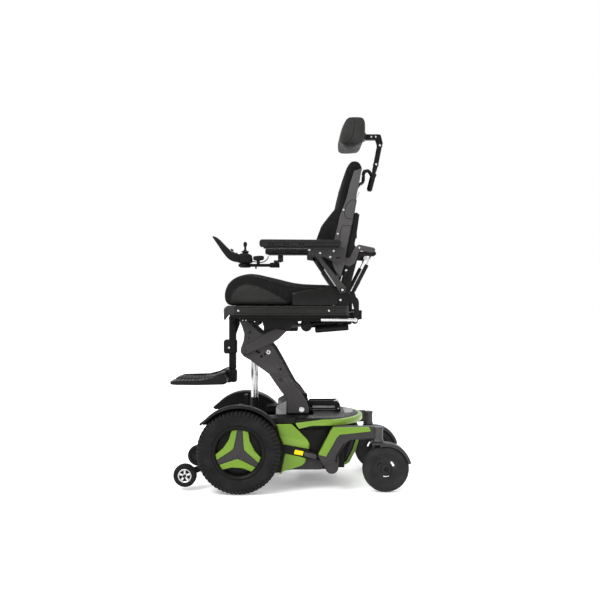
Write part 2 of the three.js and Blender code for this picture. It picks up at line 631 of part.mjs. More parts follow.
// A point on the headrest bar, measured up from its lower end.
function onHeadBar(distance) {
  const dx = HEAD_LOWER.x - HEAD_BAR_END.x;
  const dz = HEAD_LOWER.z - HEAD_BAR_END.z;
  const length = Math.hypot(dx, dz);
  return [HEAD_BAR_END.x + (dx * distance) / length, 0, HEAD_BAR_END.z + (dz * distance) / length];
}

function backFrame() {
  const posts = SIDES.map(([, side]) => backPost(side));
  const reach = POST.inner + 3;
  const crossbar = box(291, 299, -reach, reach, 1090, 1130);
  const spine = plate([[292, 1092], [298, 1190], [306, 1248], [318, 1310], [336, 1380], [340, 1416], [347, 1416],
    [345, 1378], [322, 1256], [308, 1188], [300, 1092]], -32, 32);
  const socketArm = box(338, 380, -14, 14, 1388, 1402);
  const socket = rod(onHeadBar(8), onHeadBar(84), 13, 16);
  const bore = rod(onHeadBar(-4), onHeadBar(94), 9.6, 16);
  return join(posts, crossbar, spine, socketArm, socket).subtract(bore);
}

function onStrut(distance, y) {
  const dx = STRUT_UPPER.x - STRUT_LOWER.x;
  const dz = STRUT_UPPER.z - STRUT_LOWER.z;
  const length = Math.hypot(dx, dz);
  return [STRUT_LOWER.x + (dx * distance) / length, y, STRUT_LOWER.z + (dz * distance) / length];
}

const STRUT_Y = 184;

function reclineCylinder(side) {
  const y = side * STRUT_Y;
  const barrel = rod(onStrut(10, y), onStrut(140, y), 8.5);
  const eye = pin(STRUT_LOWER, ...sideSpan(side, 178, 190), 12);
  const room = rod(onStrut(18, y), onStrut(150, y), 5);
  const hole = pin(STRUT_LOWER, ...sideSpan(side, 175, 195), 5.6);
  return join(barrel, eye).subtract(join(room, hole));
}

function reclineRod(side) {
  const y = side * STRUT_Y;
  return join(rod(onStrut(60, y), onStrut(188, y), 4.6), pin(STRUT_UPPER, ...sideSpan(side, 179, 189), 11));
}

function headrestBar() {
  return join(rod(onHeadBar(0), onHeadBar(124), 9), pin(HEAD_LOWER, -8, 8, 13));
}

function headrestLink() {
  const cheeks = [[-15, -9.5], [9.5, 15]].map(([y0, y1]) => strip(HEAD_LOWER, HEAD_UPPER, 10, y0, y1));
  const web = rod([409, -12, 1488], [409, 12, 1488], 6, 8);
  return join(cheeks, web);
}

function headrestBracket() {
  const eye = pin(HEAD_UPPER, -8, 8, 13);
  const neck = plate([[406, 1530], [398, 1560], [404, 1582], [420, 1582], [430, 1540], [428, 1528]], -8, 8);
  const block = box(352, 412, -14, 14, 1556, 1582);
  const face = box(344, 354, -45, 45, 1540, 1596);
  return join(eye, neck, block, face);
}

function headrestPad() {
  return plate([[224, 1519], [228, 1545], [238, 1585], [254, 1622], [268, 1632], [334, 1632], [343, 1618],
    [343.5, 1560], [336, 1516], [240, 1511]], -HEAD_PAD_HALF, HEAD_PAD_HALF);
}

add("back_frame", backFrame(), blackMetal);
add("back_shell", backShell(), midGrey);
add("back_cushion", backCushion(), fabric);
for (const [word, side] of SIDES) {
  add(`recline_cylinder_${word}`, reclineCylinder(side), blackMetal);
  add(`recline_rod_${word}`, reclineRod(side), silver);
}
add("headrest_bar", headrestBar(), blackMetal);
add("headrest_link", headrestLink(), blackMetal);
add("headrest_bracket", headrestBracket(), blackMetal);
add("headrest_pad", headrestPad(), padSkin);

// ---- armrests ----
function armrestFrame(side) {
  const [y0, y1] = sideSpan(side, ARMREST.plateInner, ARMREST.plateOuter);
  const elbow = { x: 142, z: 962 };
  const top = { x: 114, z: 1022 };
  const struts = [strip(RECLINE_PIVOT, elbow, 14, y0, y1), strip(elbow, top, 14, y0, y1)];
  const bracket = plate([[86, 1012], [86, 1046], [244, 1046], [248, 990], [236, 980], [196, 986], [160, 1002]],
    y0, y1);
  const [s0, s1] = sideSpan(side, ARMREST.plateInner, 288);
  const support = box(-104, 205, s0, s1, 1039, 1047);
  const boss = pin(RECLINE_PIVOT, y0, y1, 19, 16);
  const bore = pin(RECLINE_PIVOT, y0 - 1, y1 + 1, 8.6);
  const frame = join(struts, bracket, support, boss).subtract(bore);
  if (side < 0) {
    return frame;
  }
  const drop = box(-58, -30, 255, 281, 1008, 1042);
  const shaft = rod([JOYSTICK.swingX, JOYSTICK.y, 984], [JOYSTICK.swingX, JOYSTICK.y, 1010], 7);
  const shoulder = box(-78, -40, 255, 281, 1008, 1018);
  return join(frame, drop, shoulder, shaft);
}

function armrestPad(side) {
  const { padInner, padOuter, padBottom, padTop } = ARMREST;
  return plate([[-119, 1056], [-119, 1072], [-110, padTop], [215, padTop], [225, 1070], [225, 1056],
    [216, padBottom], [-110, padBottom]], ...sideSpan(side, padInner, padOuter));
}

for (const [word, side] of SIDES) {
  add(`armrest_frame_${word}`, armrestFrame(side), darkGrey);
  add(`armrest_pad_${word}`, armrestPad(side), padSkin);
}

// ---- leg rest ----
function legrestMast() {
  const sleeve = box(-273, -241, -16, 16, 506, 738);
  const head = pin(LEG_PIVOT, -16, 16, 16, 20);
  const clamp = box(-291, -238, -22, 22, 576, 638);
  const spacers = SIDES.map(([, side]) => pin(LEG_PIVOT, ...sideSpan(side, 14, 25), 10));
  const room = box(-269.4, -244.6, -12.4, 12.4, 500, 712);
  return join(sleeve, head, clamp, spacers).subtract(join(room, pin(LEG_PIVOT, -30, 30, 6.6)));
}

function legrestSlider() {
  const bar = box(-269, -245, -12, 12, 470, 690);
  const block = box(-292, -238, -20, 20, 448, 503);
  return join(bar, block, pin(FOOT_HINGE, -42, 42, 6));
}

function footplate(side) {
  const lugSpan = sideSpan(side, 21, 36);
  const lug = join(pin(FOOT_HINGE, ...lugSpan, 16, 16),
    plate([[-282, 484], [-266, 500], [-250, 488], [-268, 446], [-300, 446]], ...lugSpan));
  const sole = plate([[-525.4, 457], [-521, 446], [-506, 443], [-272, 443], [-268, 470], [-300, 486], [-330, 478],
    [-360, 464], [-420, 459]], ...sideSpan(side, 26, 168));
  const bore = pin(FOOT_HINGE, ...sideSpan(side, 10, 44), 6.6);
  return join(lug, sole).subtract(bore);
}

add("legrest_mast", legrestMast(), blackMetal);
add("legrest_slider", legrestSlider(), blackMetal);
for (const [word, side] of SIDES) {
  add(`footplate_${word}`, footplate(side), blackPlastic);
}

// ---- joystick ----
function joystickArm() {
  const { swingX, y } = JOYSTICK;
  const block = box(swingX - 32, swingX + 18, y - 13, y + 13, 981, 1006);
  const blade = box(-250, swingX - 20, y - 6, y + 6, 986, 1001);
  const neck = box(-162, -146, y - 5, y + 5, 1000, 1016);
  const palm = box(-179, -126, y - 16, y + 16, 1015, 1040);
  const bore = rod([swingX, y, 975], [swingX, y, 1010], 7.5);
  return join(block, blade, neck, palm).subtract(bore);
}

function joystickBox() {
  const { stickX, y, centreZ } = JOYSTICK;
  const body = box(-250, -185, y - 32, y + 32, 1002, 1049);
  const panel = plate([[-376, 1136], [-344, 1121], [-314, 1092], [-294, 1072], [-280, 1056], [-245, 1049],
    [-245, 1003], [-265, 1007], [-297, 1017], [-314, 1039], [-339, 1069], [-364, 1104]], y - 36, y + 36);
  const well = rod([stickX, y, centreZ - 16], [stickX, y, centreZ + 16], 22, 20);
  return join(body, panel).subtract(well);
}

function joystickGimbal() {
  const { stickX, y, centreZ } = JOYSTICK;
  return rod([stickX, y, centreZ - 9], [stickX, y, centreZ], 10);
}

function joystickLever() {
  const { stickX, y, centreZ } = JOYSTICK;
  const profile = [[0, 4], [4, 4], [4, 16], [12, 16], [12, 20], [6, 26], [5.5, 44], [8, 54], [9, 64], [6, 69],
    [0, 70]];
  const points = profile.map(([radius, height]) => new THREE.Vector2(radius, height));
  const geometry = new THREE.LatheGeometry(points, 16);
  geometry.rotateX(Math.PI / 2);
  geometry.translate(stickX, y, centreZ);
  return solid(geometry);
}

// The cable's route from the box to the underside of the armrest.
const CABLE_ROUTE = [[-184.5, 248, 1012], [-170, 248, 1010], [-154, 248, 1007], [-138, 248, 1007],
  [-124, 248, 1011], [-113, 248.5, 1019], [-106, 249, 1028], [-104, 249, 1037.6]];

add("joystick_arm", joystickArm(), blackMetal);
add("joystick_box", joystickBox(), blackPlastic);
add("joystick_gimbal", joystickGimbal(), blackPlastic);
add("joystick_lever", joystickLever(), blackPlastic);
add("joystick_cable", tubeAlong(CABLE_ROUTE, 2.5, 8, 12), rubber);

export default chair;
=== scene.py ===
"""Power wheelchair: the looks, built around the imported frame. Metres, front is -X, the user's right is +Y."""
import json
import math

import bmesh
import bpy
from mathutils import Matrix, Vector


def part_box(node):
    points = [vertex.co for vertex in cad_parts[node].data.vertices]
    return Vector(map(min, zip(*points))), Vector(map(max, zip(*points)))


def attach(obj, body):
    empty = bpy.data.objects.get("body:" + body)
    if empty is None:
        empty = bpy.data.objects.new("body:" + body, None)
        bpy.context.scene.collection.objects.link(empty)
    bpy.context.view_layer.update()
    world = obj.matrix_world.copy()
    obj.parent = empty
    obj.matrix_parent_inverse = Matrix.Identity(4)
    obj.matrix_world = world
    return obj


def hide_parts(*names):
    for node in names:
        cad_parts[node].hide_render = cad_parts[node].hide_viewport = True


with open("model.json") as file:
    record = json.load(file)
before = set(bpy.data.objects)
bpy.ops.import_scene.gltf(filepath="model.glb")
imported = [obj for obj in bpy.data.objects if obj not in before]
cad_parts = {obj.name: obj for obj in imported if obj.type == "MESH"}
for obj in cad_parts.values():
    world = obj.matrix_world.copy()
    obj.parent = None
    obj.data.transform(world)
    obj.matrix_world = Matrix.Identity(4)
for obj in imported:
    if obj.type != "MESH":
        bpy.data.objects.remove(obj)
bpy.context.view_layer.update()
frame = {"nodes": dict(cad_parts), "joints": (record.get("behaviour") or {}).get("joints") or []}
MM = 0.001
JOINT_POS = {joint["name"]: Vector(joint["pos_m"]) for joint in frame["joints"] if joint.get("pos_m")}
SIDES = (("left", -1), ("right", 1))


def box_of(node):
    low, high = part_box(node)
    return Vector(low), Vector(high)


# ---- camera, light and floor ----
CAMERA = {"distance": 3.5, "height": 0.822, "shift_x": 0.052, "lens": 45.7}


def make_stage():
    data = bpy.data.cameras.new("camera")
    data.lens = CAMERA["lens"]
    data.sensor_width = 36.0
    camera = bpy.data.objects.new("camera", data)
    camera.location = (CAMERA["shift_x"], -CAMERA["distance"], CAMERA["height"])
    camera.rotation_euler = (math.pi / 2, 0, 0)
    bpy.context.scene.collection.objects.link(camera)
    bpy.context.scene.camera = camera

    bpy.ops.mesh.primitive_plane_add(size=90, location=(0, 0, -0.0005))
    floor = bpy.context.object
    floor.name = "floor"
    floor.data.materials.append(simple_material("floor", (0.93, 0.93, 0.93), 0.95, 0.0, 0.22))

    world = bpy.data.worlds.new("studio")
    world.use_nodes = True
    background = world.node_tree.nodes["Background"]
    background.inputs["Color"].default_value = (1, 1, 1, 1)
    background.inputs["Strength"].default_value = 1.0
    bpy.context.scene.world = world
    bpy.context.scene.view_settings.view_transform = "Standard"

    sun = bpy.data.lights.new("sun", "SUN")
    sun.energy = 0.9
    sun.angle = math.radians(40)
    lamp = bpy.data.objects.new("sun", sun)
    lamp.rotation_euler = Vector((0.35, 0.55, -1.0)).to_track_quat("-Z", "Y").to_euler()
    bpy.context.scene.collection.objects.link(lamp)
    area_light("key", (-1.9, -2.2, 2.9), (0.0, 0.0, 0.8), 1.3, 60)
    area_light("side", (2.6, -2.4, 1.5), (0.1, 0.0, 0.7), 0.9, 22)
    area_light("rim", (0.6, 2.6, 3.0), (0.0, 0.0, 0.9), 1.6, 40)


def area_light(name, place, target, size, power):
    data = bpy.data.lights.new(name, "AREA")
    data.shape = "SQUARE"
    data.size = size
    data.energy = power
    light = bpy.data.objects.new(name, data)
    light.location = place
    direction = Vector(target) - Vector(place)
    light.rotation_euler = direction.to_track_quat("-Z", "Y").to_euler()
    bpy.context.scene.collection.objects.link(light)


# ---- materials ----
def simple_material(name, color, roughness, specular=0.5, glow=0.0):
    mat = bpy.data.materials.new(name)
    mat.use_nodes = True
    shader = mat.node_tree.nodes["Principled BSDF"]
    shader.inputs["Base Color"].default_value = (*color, 1)
    shader.inputs["Roughness"].default_value = roughness
    shader.inputs["Specular IOR Level"].default_value = specular
    if glow:
        shader.inputs["Emission Color"].default_value = (*color, 1)
        shader.inputs["Emission Strength"].default_value = glow
    return mat


class Surface:
    """A Principled material with layers of procedural colour, roughness and bump added to it."""

    def __init__(self, name, color, roughness, metallic=0.0, coat=0.0, specular=0.5, sheen=0.0):
        self.mat = bpy.data.materials.new(name)
        self.mat.use_nodes = True
        self.nodes = self.mat.node_tree.nodes
        self.links = self.mat.node_tree.links
        self.shader = self.nodes["Principled BSDF"]
        self.shader.inputs["Metallic"].default_value = metallic
        self.shader.inputs["Coat Weight"].default_value = coat
        self.shader.inputs["Coat Roughness"].default_value = 0.12
        self.shader.inputs["Specular IOR Level"].default_value = specular
        self.shader.inputs["Sheen Weight"].default_value = sheen
        self.shader.inputs["Sheen Roughness"].default_value = 0.5
        self.shader.inputs["Roughness"].default_value = roughness
        self.place = self.nodes.new("ShaderNodeTexCoord").outputs["Object"]
        self.base = color
        self.color = None
        self.normal = None

    def stretched(self, scale):
        mapping = self.nodes.new("ShaderNodeMapping")
        mapping.inputs["Scale"].default_value = scale
        self.links.new(self.place, mapping.inputs["Vector"])
        return mapping.outputs["Vector"]

    def noise(self, scale, detail=3.0, stretch=None):
        node = self.nodes.new("ShaderNodeTexNoise")
        node.inputs["Scale"].default_value = scale
        node.inputs["Detail"].default_value = detail
        self.links.new(self.stretched(stretch) if stretch else self.place, node.inputs["Vector"])
        return node.outputs["Fac"]

    def ramp(self, value, low, high, out_low=0.0, out_high=1.0):
        node = self.nodes.new("ShaderNodeMapRange")
        node.inputs["From Min"].default_value = low
        node.inputs["From Max"].default_value = high
        node.inputs["To Min"].default_value = out_low
        node.inputs["To Max"].default_value = out_high
        self.links.new(value, node.inputs["Value"])
        return node.outputs["Result"]

    def tint(self, amount, color):
        """Mixes color over what is there, by amount."""
        mix = self.nodes.new("ShaderNodeMix")
        mix.data_type = "RGBA"
        self.links.new(amount, mix.inputs["Factor"])
        if self.color:
            self.links.new(self.color, mix.inputs["A"])
        else:
            mix.inputs["A"].default_value = (*self.base, 1)
        mix.inputs["B"].default_value = (*color, 1)
        self.color = mix.outputs["Result"]

    def rough(self, value, low, high):
        self.links.new(self.ramp(value, 0.3, 0.7, low, high), self.shader.inputs["Roughness"])

    def bump(self, height, strength, distance):
        node = self.nodes.new("ShaderNodeBump")
        node.inputs["Strength"].default_value = strength
        node.inputs["Distance"].default_value = distance
        self.links.new(height, node.inputs["Height"])
        if self.normal:
            self.links.new(self.normal, node.inputs["Normal"])
        self.normal = node.outputs["Normal"]

    def edge_wear(self, color, start=0.53, stop=0.62):
        point = self.nodes.new("ShaderNodeNewGeometry").outputs["Pointiness"]
        self.tint(self.ramp(point, start, stop, 0.0, 0.45), color)

    def done(self):
        self.links.new(self.color, self.shader.inputs["Base Color"])
        if self.normal:
            self.links.new(self.normal, self.shader.inputs["Normal"])
        return self.mat


def powder_coat(name, color, light, roughness=0.42, metallic=0.0, specular=0.12):
    coat = Surface(name, color, roughness, metallic=metallic, specular=specular)
    coat.tint(coat.ramp(coat.noise(14), 0.35, 0.7, 0.0, 0.5), light)
    coat.edge_wear([min(1.0, 2.0 * c + 0.01) for c in light])
    coat.rough(coat.noise(60), roughness - 0.07, roughness + 0.1)
    coat.bump(coat.noise(1400, 2), 0.16, 0.0003)
    return coat.done()


def moulded_plastic(name, color, light, roughness=0.5, grain=1800, specular=0.13):
    plastic = Surface(name, color, roughness, specular=specular)
    plastic.tint(plastic.ramp(plastic.noise(9), 0.35, 0.7, 0.0, 0.6), light)
    plastic.edge_wear([min(1.0, 1.6 * c + 0.006) for c in light], 0.54, 0.66)
    plastic.rough(plastic.noise(90), roughness - 0.08, roughness + 0.1)
    plastic.bump(plastic.noise(grain, 2), 0.22, 0.0003)
    return plastic.done()


def green_paint():
    paint = Surface("lime_green", (0.108, 0.205, 0.0078), 0.32, coat=0.2, specular=0.3)
    paint.tint(paint.ramp(paint.noise(5), 0.3, 0.7, 0.0, 0.5), (0.13, 0.24, 0.011))
    paint.edge_wear((0.28, 0.45, 0.06), 0.52, 0.6)
    paint.rough(paint.noise(40), 0.28, 0.4)
    paint.bump(paint.noise(500, 2), 0.05, 0.0003)
    return paint.done()


def rubber(name, color, light, roughness=0.72, grain=900, specular=0.12):
    skin = Surface(name, color, roughness, specular=specular)
    skin.tint(skin.ramp(skin.noise(22, 5), 0.4, 0.7, 0.0, 0.7), light)
    skin.edge_wear([1.7 * c for c in light], 0.52, 0.64)
    skin.rough(skin.noise(70), roughness - 0.1, roughness + 0.12)
    skin.bump(skin.noise(grain, 3), 0.3, 0.0004)
    return skin.done()


def woven(name, color, light, scale=520.0, sheen=0.02):
    """A tight spacer knit: rows of small cells with a soft sheen."""
    cloth = Surface(name, color, 0.85, specular=0.08, sheen=sheen)
    cloth.tint(cloth.ramp(cloth.noise(10, 4), 0.35, 0.7, 0.0, 0.7), light)
    heights = []
    for direction in ("X", "Y", "Z"):
        wave = cloth.nodes.new("ShaderNodeTexWave")
        wave.bands_direction = direction
        wave.inputs["Scale"].default_value = scale / 3.14
        wave.inputs["Distortion"].default_value = 0.6
        cloth.links.new(cloth.place, wave.inputs["Vector"])
        heights.append(wave.outputs["Fac"])
    total = heights[0]
    for height in heights[1:]:
        add = cloth.nodes.new("ShaderNodeMath")
        add.operation = "ADD"
        cloth.links.new(total, add.inputs[0])
        cloth.links.new(height, add.inputs[1])
        total = add.outputs[0]
    cloth.tint(cloth.ramp(total, 1.2, 2.4, 0.0, 0.5), [1.7 * c for c in light])
    cloth.bump(total, 0.4, 0.0005)
    cloth.bump(cloth.noise(26, 2), 0.12, 0.002)
    return cloth.done()


def bare_metal(name, color, roughness, stretch=(3000, 3000, 60)):
    metal = Surface(name, color, roughness, metallic=1.0)
    streaks = metal.noise(1.0, 2, stretch=stretch)
    metal.tint(metal.ramp(streaks, 0.3, 0.7, 0.0, 0.25), [0.8 * c for c in color])
    metal.rough(streaks, max(0.04, roughness - 0.06), roughness + 0.08)
    metal.bump(streaks, 0.03, 0.0001)
    return metal.done()


def make_materials():
    return {"black_metal": powder_coat("black_powder_coat", (0.0046, 0.0043, 0.0041), (0.0085, 0.008,
        0.0076)), "dark_grey": powder_coat("dark_grey_powder_coat", (0.031, 0.029, 0.029),
        (0.041, 0.039, 0.039), 0.46), "mid_grey": powder_coat("mid_grey_powder_coat", (0.046, 0.0435,
        0.0435), (0.064, 0.061, 0.061), 0.44), "shell_grey": moulded_plastic("shell_grey",
        (0.053, 0.0505, 0.052), (0.07, 0.067, 0.069), 0.55),
        "black_plastic": moulded_plastic("black_plastic", (0.0046, 0.0044, 0.0042), (0.0085, 0.008,
        0.0078), 0.44), "grey_plastic": moulded_plastic("grey_plastic", (0.024, 0.0235, 0.0235),
        (0.034, 0.0333, 0.0333), 0.5), "green": green_paint(),
        "yellow": moulded_plastic("yellow_marker", (0.82, 0.56, 0.0), (0.88, 0.62, 0.01), 0.4),
        "tyre": rubber("tyre_rubber", (0.0068, 0.0066, 0.0066), (0.015, 0.0148, 0.0148)),
        "caster": rubber("caster_rubber", (0.014, 0.0138, 0.014), (0.024, 0.0238, 0.024), 0.66),
        "cable": rubber("cable_sheath", (0.009, 0.009, 0.009), (0.014, 0.014, 0.014), 0.5),
        "chrome": bare_metal("chrome", (0.6, 0.605, 0.615), 0.28), "steel": bare_metal("steel",
        (0.62, 0.62, 0.63), 0.32, (900, 900, 900)), "fabric": woven("seat_fabric", (0.0048, 0.0046,
        0.0044), (0.0088, 0.0085, 0.0082)), "fabric_grey": woven("seat_side_fabric", (0.016, 0.0158,
        0.0155), (0.025, 0.0247, 0.0242), 420.0), "pad": rubber("pad_skin", (0.009, 0.0088, 0.0086),
        (0.016, 0.0158, 0.0155), 0.55, 1500), "headrest": rubber("headrest_cover", (0.0185, 0.0178,
        0.0172), (0.027, 0.026, 0.0255), 0.55, 1300), "piping": rubber("piping", (0.005, 0.005, 0.005),
        (0.008, 0.008, 0.008), 0.5), "screen": simple_material("screen", (0.006, 0.007, 0.009), 0.14,
        # The silver grey plastic below is painted highlight: it colours a patch on the lid's tail and a line on
        # each armrest strut where light shines.
        0.4), "painted_highlight_grey": moulded_plastic("painted_highlight_grey", (0.24, 0.24, 0.245),
        (0.28, 0.28, 0.285), 0.4), "gloss_black": moulded_plastic("gloss_black", (0.004, 0.0038,
        0.0036), (0.006, 0.0058, 0.0056), 0.28, 1800, 0.16), "rail": powder_coat("rail_anodised",
        (0.0095, 0.0092, 0.0088), (0.0155, 0.015, 0.0145), 0.36, 0.0, 0.16),
        "light_grey": powder_coat("light_grey_paint", (0.15, 0.148, 0.148), (0.19, 0.187, 0.187), 0.45),
        "dark_steel": bare_metal("dark_steel", (0.05, 0.05, 0.052), 0.3, (900, 900, 900)),
        "barrel": powder_coat("barrel_paint", (0.05, 0.049, 0.05), (0.07, 0.068, 0.07), 0.3, 0.3),}


# ---- outlines and meshes ----
def rounded(points, radius=3.0, steps=4, closed=True):
    """Rounds the corners of an outline. A point may carry its own radius as a third number."""
    flat = [Vector(point[:2]) for point in points]
    radii = [point[2] if len(point) > 2 else radius for point in points]
    count = len(flat)
    result = []
    for i, corner in enumerate(flat):
        if not closed and i in (0, count - 1):
            result.append(corner)
            continue
        back = flat[i - 1] - corner
        ahead = flat[(i + 1) % count] - corner
        turn = back.angle(ahead, math.pi)
        if radii[i] <= 0 or turn > math.radians(174) or turn < math.radians(4):
            result.append(corner)
            continue
        reach = min(radii[i] / math.tan(turn / 2), 0.48 * back.length, 0.48 * ahead.length)
        start = corner + back.normalized() * reach
        stop = corner + ahead.normalized() * reach
        for k in range(steps + 1):
            t = k / steps
            result.append(start.lerp(corner, t).lerp(corner.lerp(stop, t), t))
    return result


def circle(center, radius, steps=24, start=0.0, stop=360.0):
    """Points round a circle, or along an arc of it, from one angle to another."""
    full = abs(stop - start) >= 360
    count = steps if full else steps + 1
    turn = [math.radians(start + (stop - start) * i / steps) for i in range(count)]
    return [Vector((center[0] + radius * math.cos(a), center[1] + radius * math.sin(a))) for a in turn]


def area_sign(points):
    return sum(a[0] * b[1] - b[0] * a[1] for a, b in zip(points, points[1:] + points[:1]))


def new_object(name, mesh):
    obj = bpy.data.objects.new(name, mesh)
    bpy.context.scene.collection.objects.link(obj)
    return obj


def mesh_object(name, points, faces):
    """A mesh from points in millimetres."""
    mesh = bpy.data.meshes.new(name)
    mesh.from_pydata([tuple(c * MM for c in point) for point in points], [], faces)
    obj = new_object(name, mesh)
    clean(obj)
    return obj


def clean(obj, gap=0.00001):
    bm = bmesh.new()
    bm.from_mesh(obj.data)
    bmesh.ops.remove_doubles(bm, verts=bm.verts, dist=gap)
    bmesh.ops.dissolve_degenerate(bm, edges=bm.edges, dist=gap / 2)
    bmesh.ops.recalc_face_normals(bm, faces=bm.faces)
    bm.to_mesh(obj.data)
    bm.free()


def extruded(name, outline, low, high, edge, holes, turned_by):
    """An outline with holes, given thickness from low to high and rounded edges, then turned into place."""
    curve = bpy.data.curves.new(name, "CURVE")
    curve.dimensions = "2D"
    curve.fill_mode = "BOTH"
    edge = min(edge, 0.48 * (high - low))
    curve.extrude = max(0.0, (high - low) / 2 - edge) * MM
    curve.bevel_depth = edge * MM
    curve.bevel_resolution = 1 if edge < 1 else 2
    curve.offset = -edge * MM
    rings = [(outline, 1)] + [(hole, -1) for hole in holes]
    for ring, sign in rings:
        ring = list(ring)
        if area_sign(ring) * sign < 0:
            ring.reverse()
        spline = curve.splines.new("POLY")
        spline.points.add(len(ring) - 1)
        for point, target in zip(ring, spline.points):
            target.co = (point[0] * MM, point[1] * MM, 0, 1)
        spline.use_cyclic_u = True
    holder = new_object(name + "_curve", curve)
    mesh = bpy.data.meshes.new_from_object(holder.evaluated_get(bpy.context.evaluated_depsgraph_get()))
    bpy.data.objects.remove(holder)
    bpy.data.curves.remove(curve)
    middle = (low + high) / 2 * MM
    mesh.transform(Matrix.Translation((0, 0, middle)))
    mesh.transform(turned_by)
    mesh.name = name
    obj = new_object(name, mesh)
    clean(obj)
    return obj


SIDE_VIEW = Matrix(((1, 0, 0, 0), (0, 0, 1, 0), (0, 1, 0, 0), (0, 0, 0, 1)))
SECTION = Matrix(((0, 0, 1, 0), (1, 0, 0, 0), (0, 1, 0, 0), (0, 0, 0, 1)))
PLAN = Matrix.Identity(4)


def plate(name, outline, y0, y1, edge=1.2, holes=(), radius=3.0):
    """A side-view outline (x, z) with thickness across Y."""
    return extruded(name, rounded(outline, radius), min(y0, y1), max(y0, y1), edge, holes, SIDE_VIEW)


def slab(name, outline, z0, z1, edge=1.2, holes=(), radius=3.0):
    """A plan outline (x, y) with thickness up Z."""
    return extruded(name, rounded(outline, radius), z0, z1, edge, holes, PLAN)


def bar(name, outline, x0, x1, edge=1.2, holes=(), radius=3.0):
    """A section (y, z) with length along X."""
    return extruded(name, rounded(outline, radius), x0, x1, edge, holes, SECTION)


def box_ring(x0, x1, y0, y1):
    return [(x0, y0), (x1, y0), (x1, y1), (x0, y1)]


def rod_profile(r, a, b):
    """The profile of a solid cylinder, for lathe."""
    return [(0.01, a), (r, a), (r, b), (0.01, b)]


def block(name, x0, x1, y0, y1, z0, z1, edge=2.0, radius=4.0):
    return plate(name, box_ring(x0, x1, z0, z1), y0, y1, edge, radius=radius)


def lathe(name, profile, center, axis="Y", side=1, sides=64, radius=1.5):
    """A closed profile of (radius, distance along the axis), turned about an axis through center."""
    ring = rounded(profile, radius, 3)
    points, faces = [], []
    for i in range(sides):
        angle = 2 * math.pi * i / sides
        c, s = math.cos(angle), math.sin(angle)
        for r, d in ring:
            spot = {"Y": (r * c, side * d, r * s), "Z": (r * c, r * s, side * d), "X": (side * d, r * c,
                r * s)}[axis]
            points.append([center[k] + spot[k] for k in range(3)])
    n = len(ring)
    for i in range(sides):
        j = (i + 1) % sides
        for k in range(n):
            m = (k + 1) % n
            faces.append((i * n + k, i * n + m, j * n + m, j * n + k))
    return mesh_object(name, points, faces)


def loft(name, rings, closed=False):
    """A skin over rings of points. Its ends are capped unless the rings close on themselves."""
    n = len(rings[0])
    points = [point for ring in rings for point in ring]
    faces = []
    last = len(rings) if closed else len(rings) - 1
    for i in range(last):
        j = (i + 1) % len(rings)
        for k in range(n):
            m = (k + 1) % n
            faces.append((i * n + k, i * n + m, j * n + m, j * n + k))
    if not closed:
        faces.append(tuple(range(n)))
        faces.append(tuple(range(len(points) - n, len(points))))
    return mesh_object(name, points, faces)


def spline_through(points, steps=8):
    """A smooth line through points, as a Catmull-Rom spline."""
    pts = [Vector(p) for p in points]
    pts = [2 * pts[0] - pts[1]] + pts + [2 * pts[-1] - pts[-2]]
    line = []
    for a, b, c, d in zip(pts, pts[1:], pts[2:], pts[3:]):
        for k in range(steps):
            t = k / steps
            line.append(0.5 * (2 * b + (c - a) * t + (2 * a - 5 * b + 4 * c - d) * t * t
                + (3 * b - 3 * c + d - a) * t ** 3))
    line.append(pts[-2])
    return line


def pipe(name, line, radius, sides=14, closed=False):
    """A round tube along a line of points, in millimetres. The radius may be a number or one for each point."""
    pts = [Vector(p) for p in line]
    count = len(pts)
    up = Vector((0.013, 0.31, 0.95))
    rings = []
    for i, point in enumerate(pts):
        before = pts[i - 1] if i or closed else pts[0]
        after = pts[(i + 1) % count] if i < count - 1 or closed else pts[-1]
        along = (after - before).normalized()
        if abs(along.dot(up)) > 0.98:
            up = Vector((1, 0.1, 0))
        across = along.cross(up).normalized()
        up = across.cross(along).normalized()
        r = radius[i] if isinstance(radius, (list, tuple)) else radius
        turns = [2 * math.pi * k / sides for k in range(sides)]
        rings.append([point + across * (r * math.cos(a)) + up * (r * math.sin(a)) for a in turns])
    return loft(name, rings, closed)


def joined(name, objs):
    """Several meshes as one object."""
    bm = bmesh.new()
    for obj in objs:
        bm.from_mesh(obj.data)
    mesh = bpy.data.meshes.new(name)
    bm.to_mesh(mesh)
    bm.free()
    for obj in objs:
        bpy.data.objects.remove(obj)
    return new_object(name, mesh)


def applied(obj):
    """The object with its modifiers made into mesh."""
    mesh = bpy.data.meshes.new_from_object(obj.evaluated_get(bpy.context.evaluated_depsgraph_get()))
    obj.modifiers.clear()
    obj.data = mesh
    return obj


def cut(obj, cutters):
    for cutter in cutters:
        mod = obj.modifiers.new("cut", "BOOLEAN")
        mod.operation = "DIFFERENCE"
        mod.solver = "EXACT"
        mod.object = cutter
        applied(obj)
        bpy.data.objects.remove(cutter)
    clean(obj)
    return obj


def softened(obj, width):
    mod = obj.modifiers.new("edges", "BEVEL")
    mod.width = width * MM
    mod.segments = 2
    mod.limit_method = "ANGLE"
    mod.angle_limit = math.radians(35)
    return obj


def shade(obj, angle=38):
    obj.data.shade_smooth()
    obj.data.set_sharp_from_angle(angle=math.radians(angle))


def piece(obj, body, look, replaces=(), angle=38):
    """Gives a finished mesh its material and shading, puts it on its body and hides the CAD parts it replaces.
    """
    if look:
        obj.data.materials.clear()
        obj.data.materials.append(LOOK[look])
    if angle:
        shade(obj, angle)
    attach(obj, body)
    if replaces:
        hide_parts(*replaces)
    return obj


# ---- wheels ----
DRIVE_R, RIM_R = 178, 112
CASTER_R = 100
ANTITIP_R = 50


def hub_of(joint):
    """A wheel's or pivot's centre, in millimetres."""
    return JOINT_POS[joint] / MM


def polar(center, radius, degrees):
    angle = math.radians(degrees)
    return (center[0] + radius * math.cos(angle), center[2] + radius * math.sin(angle))


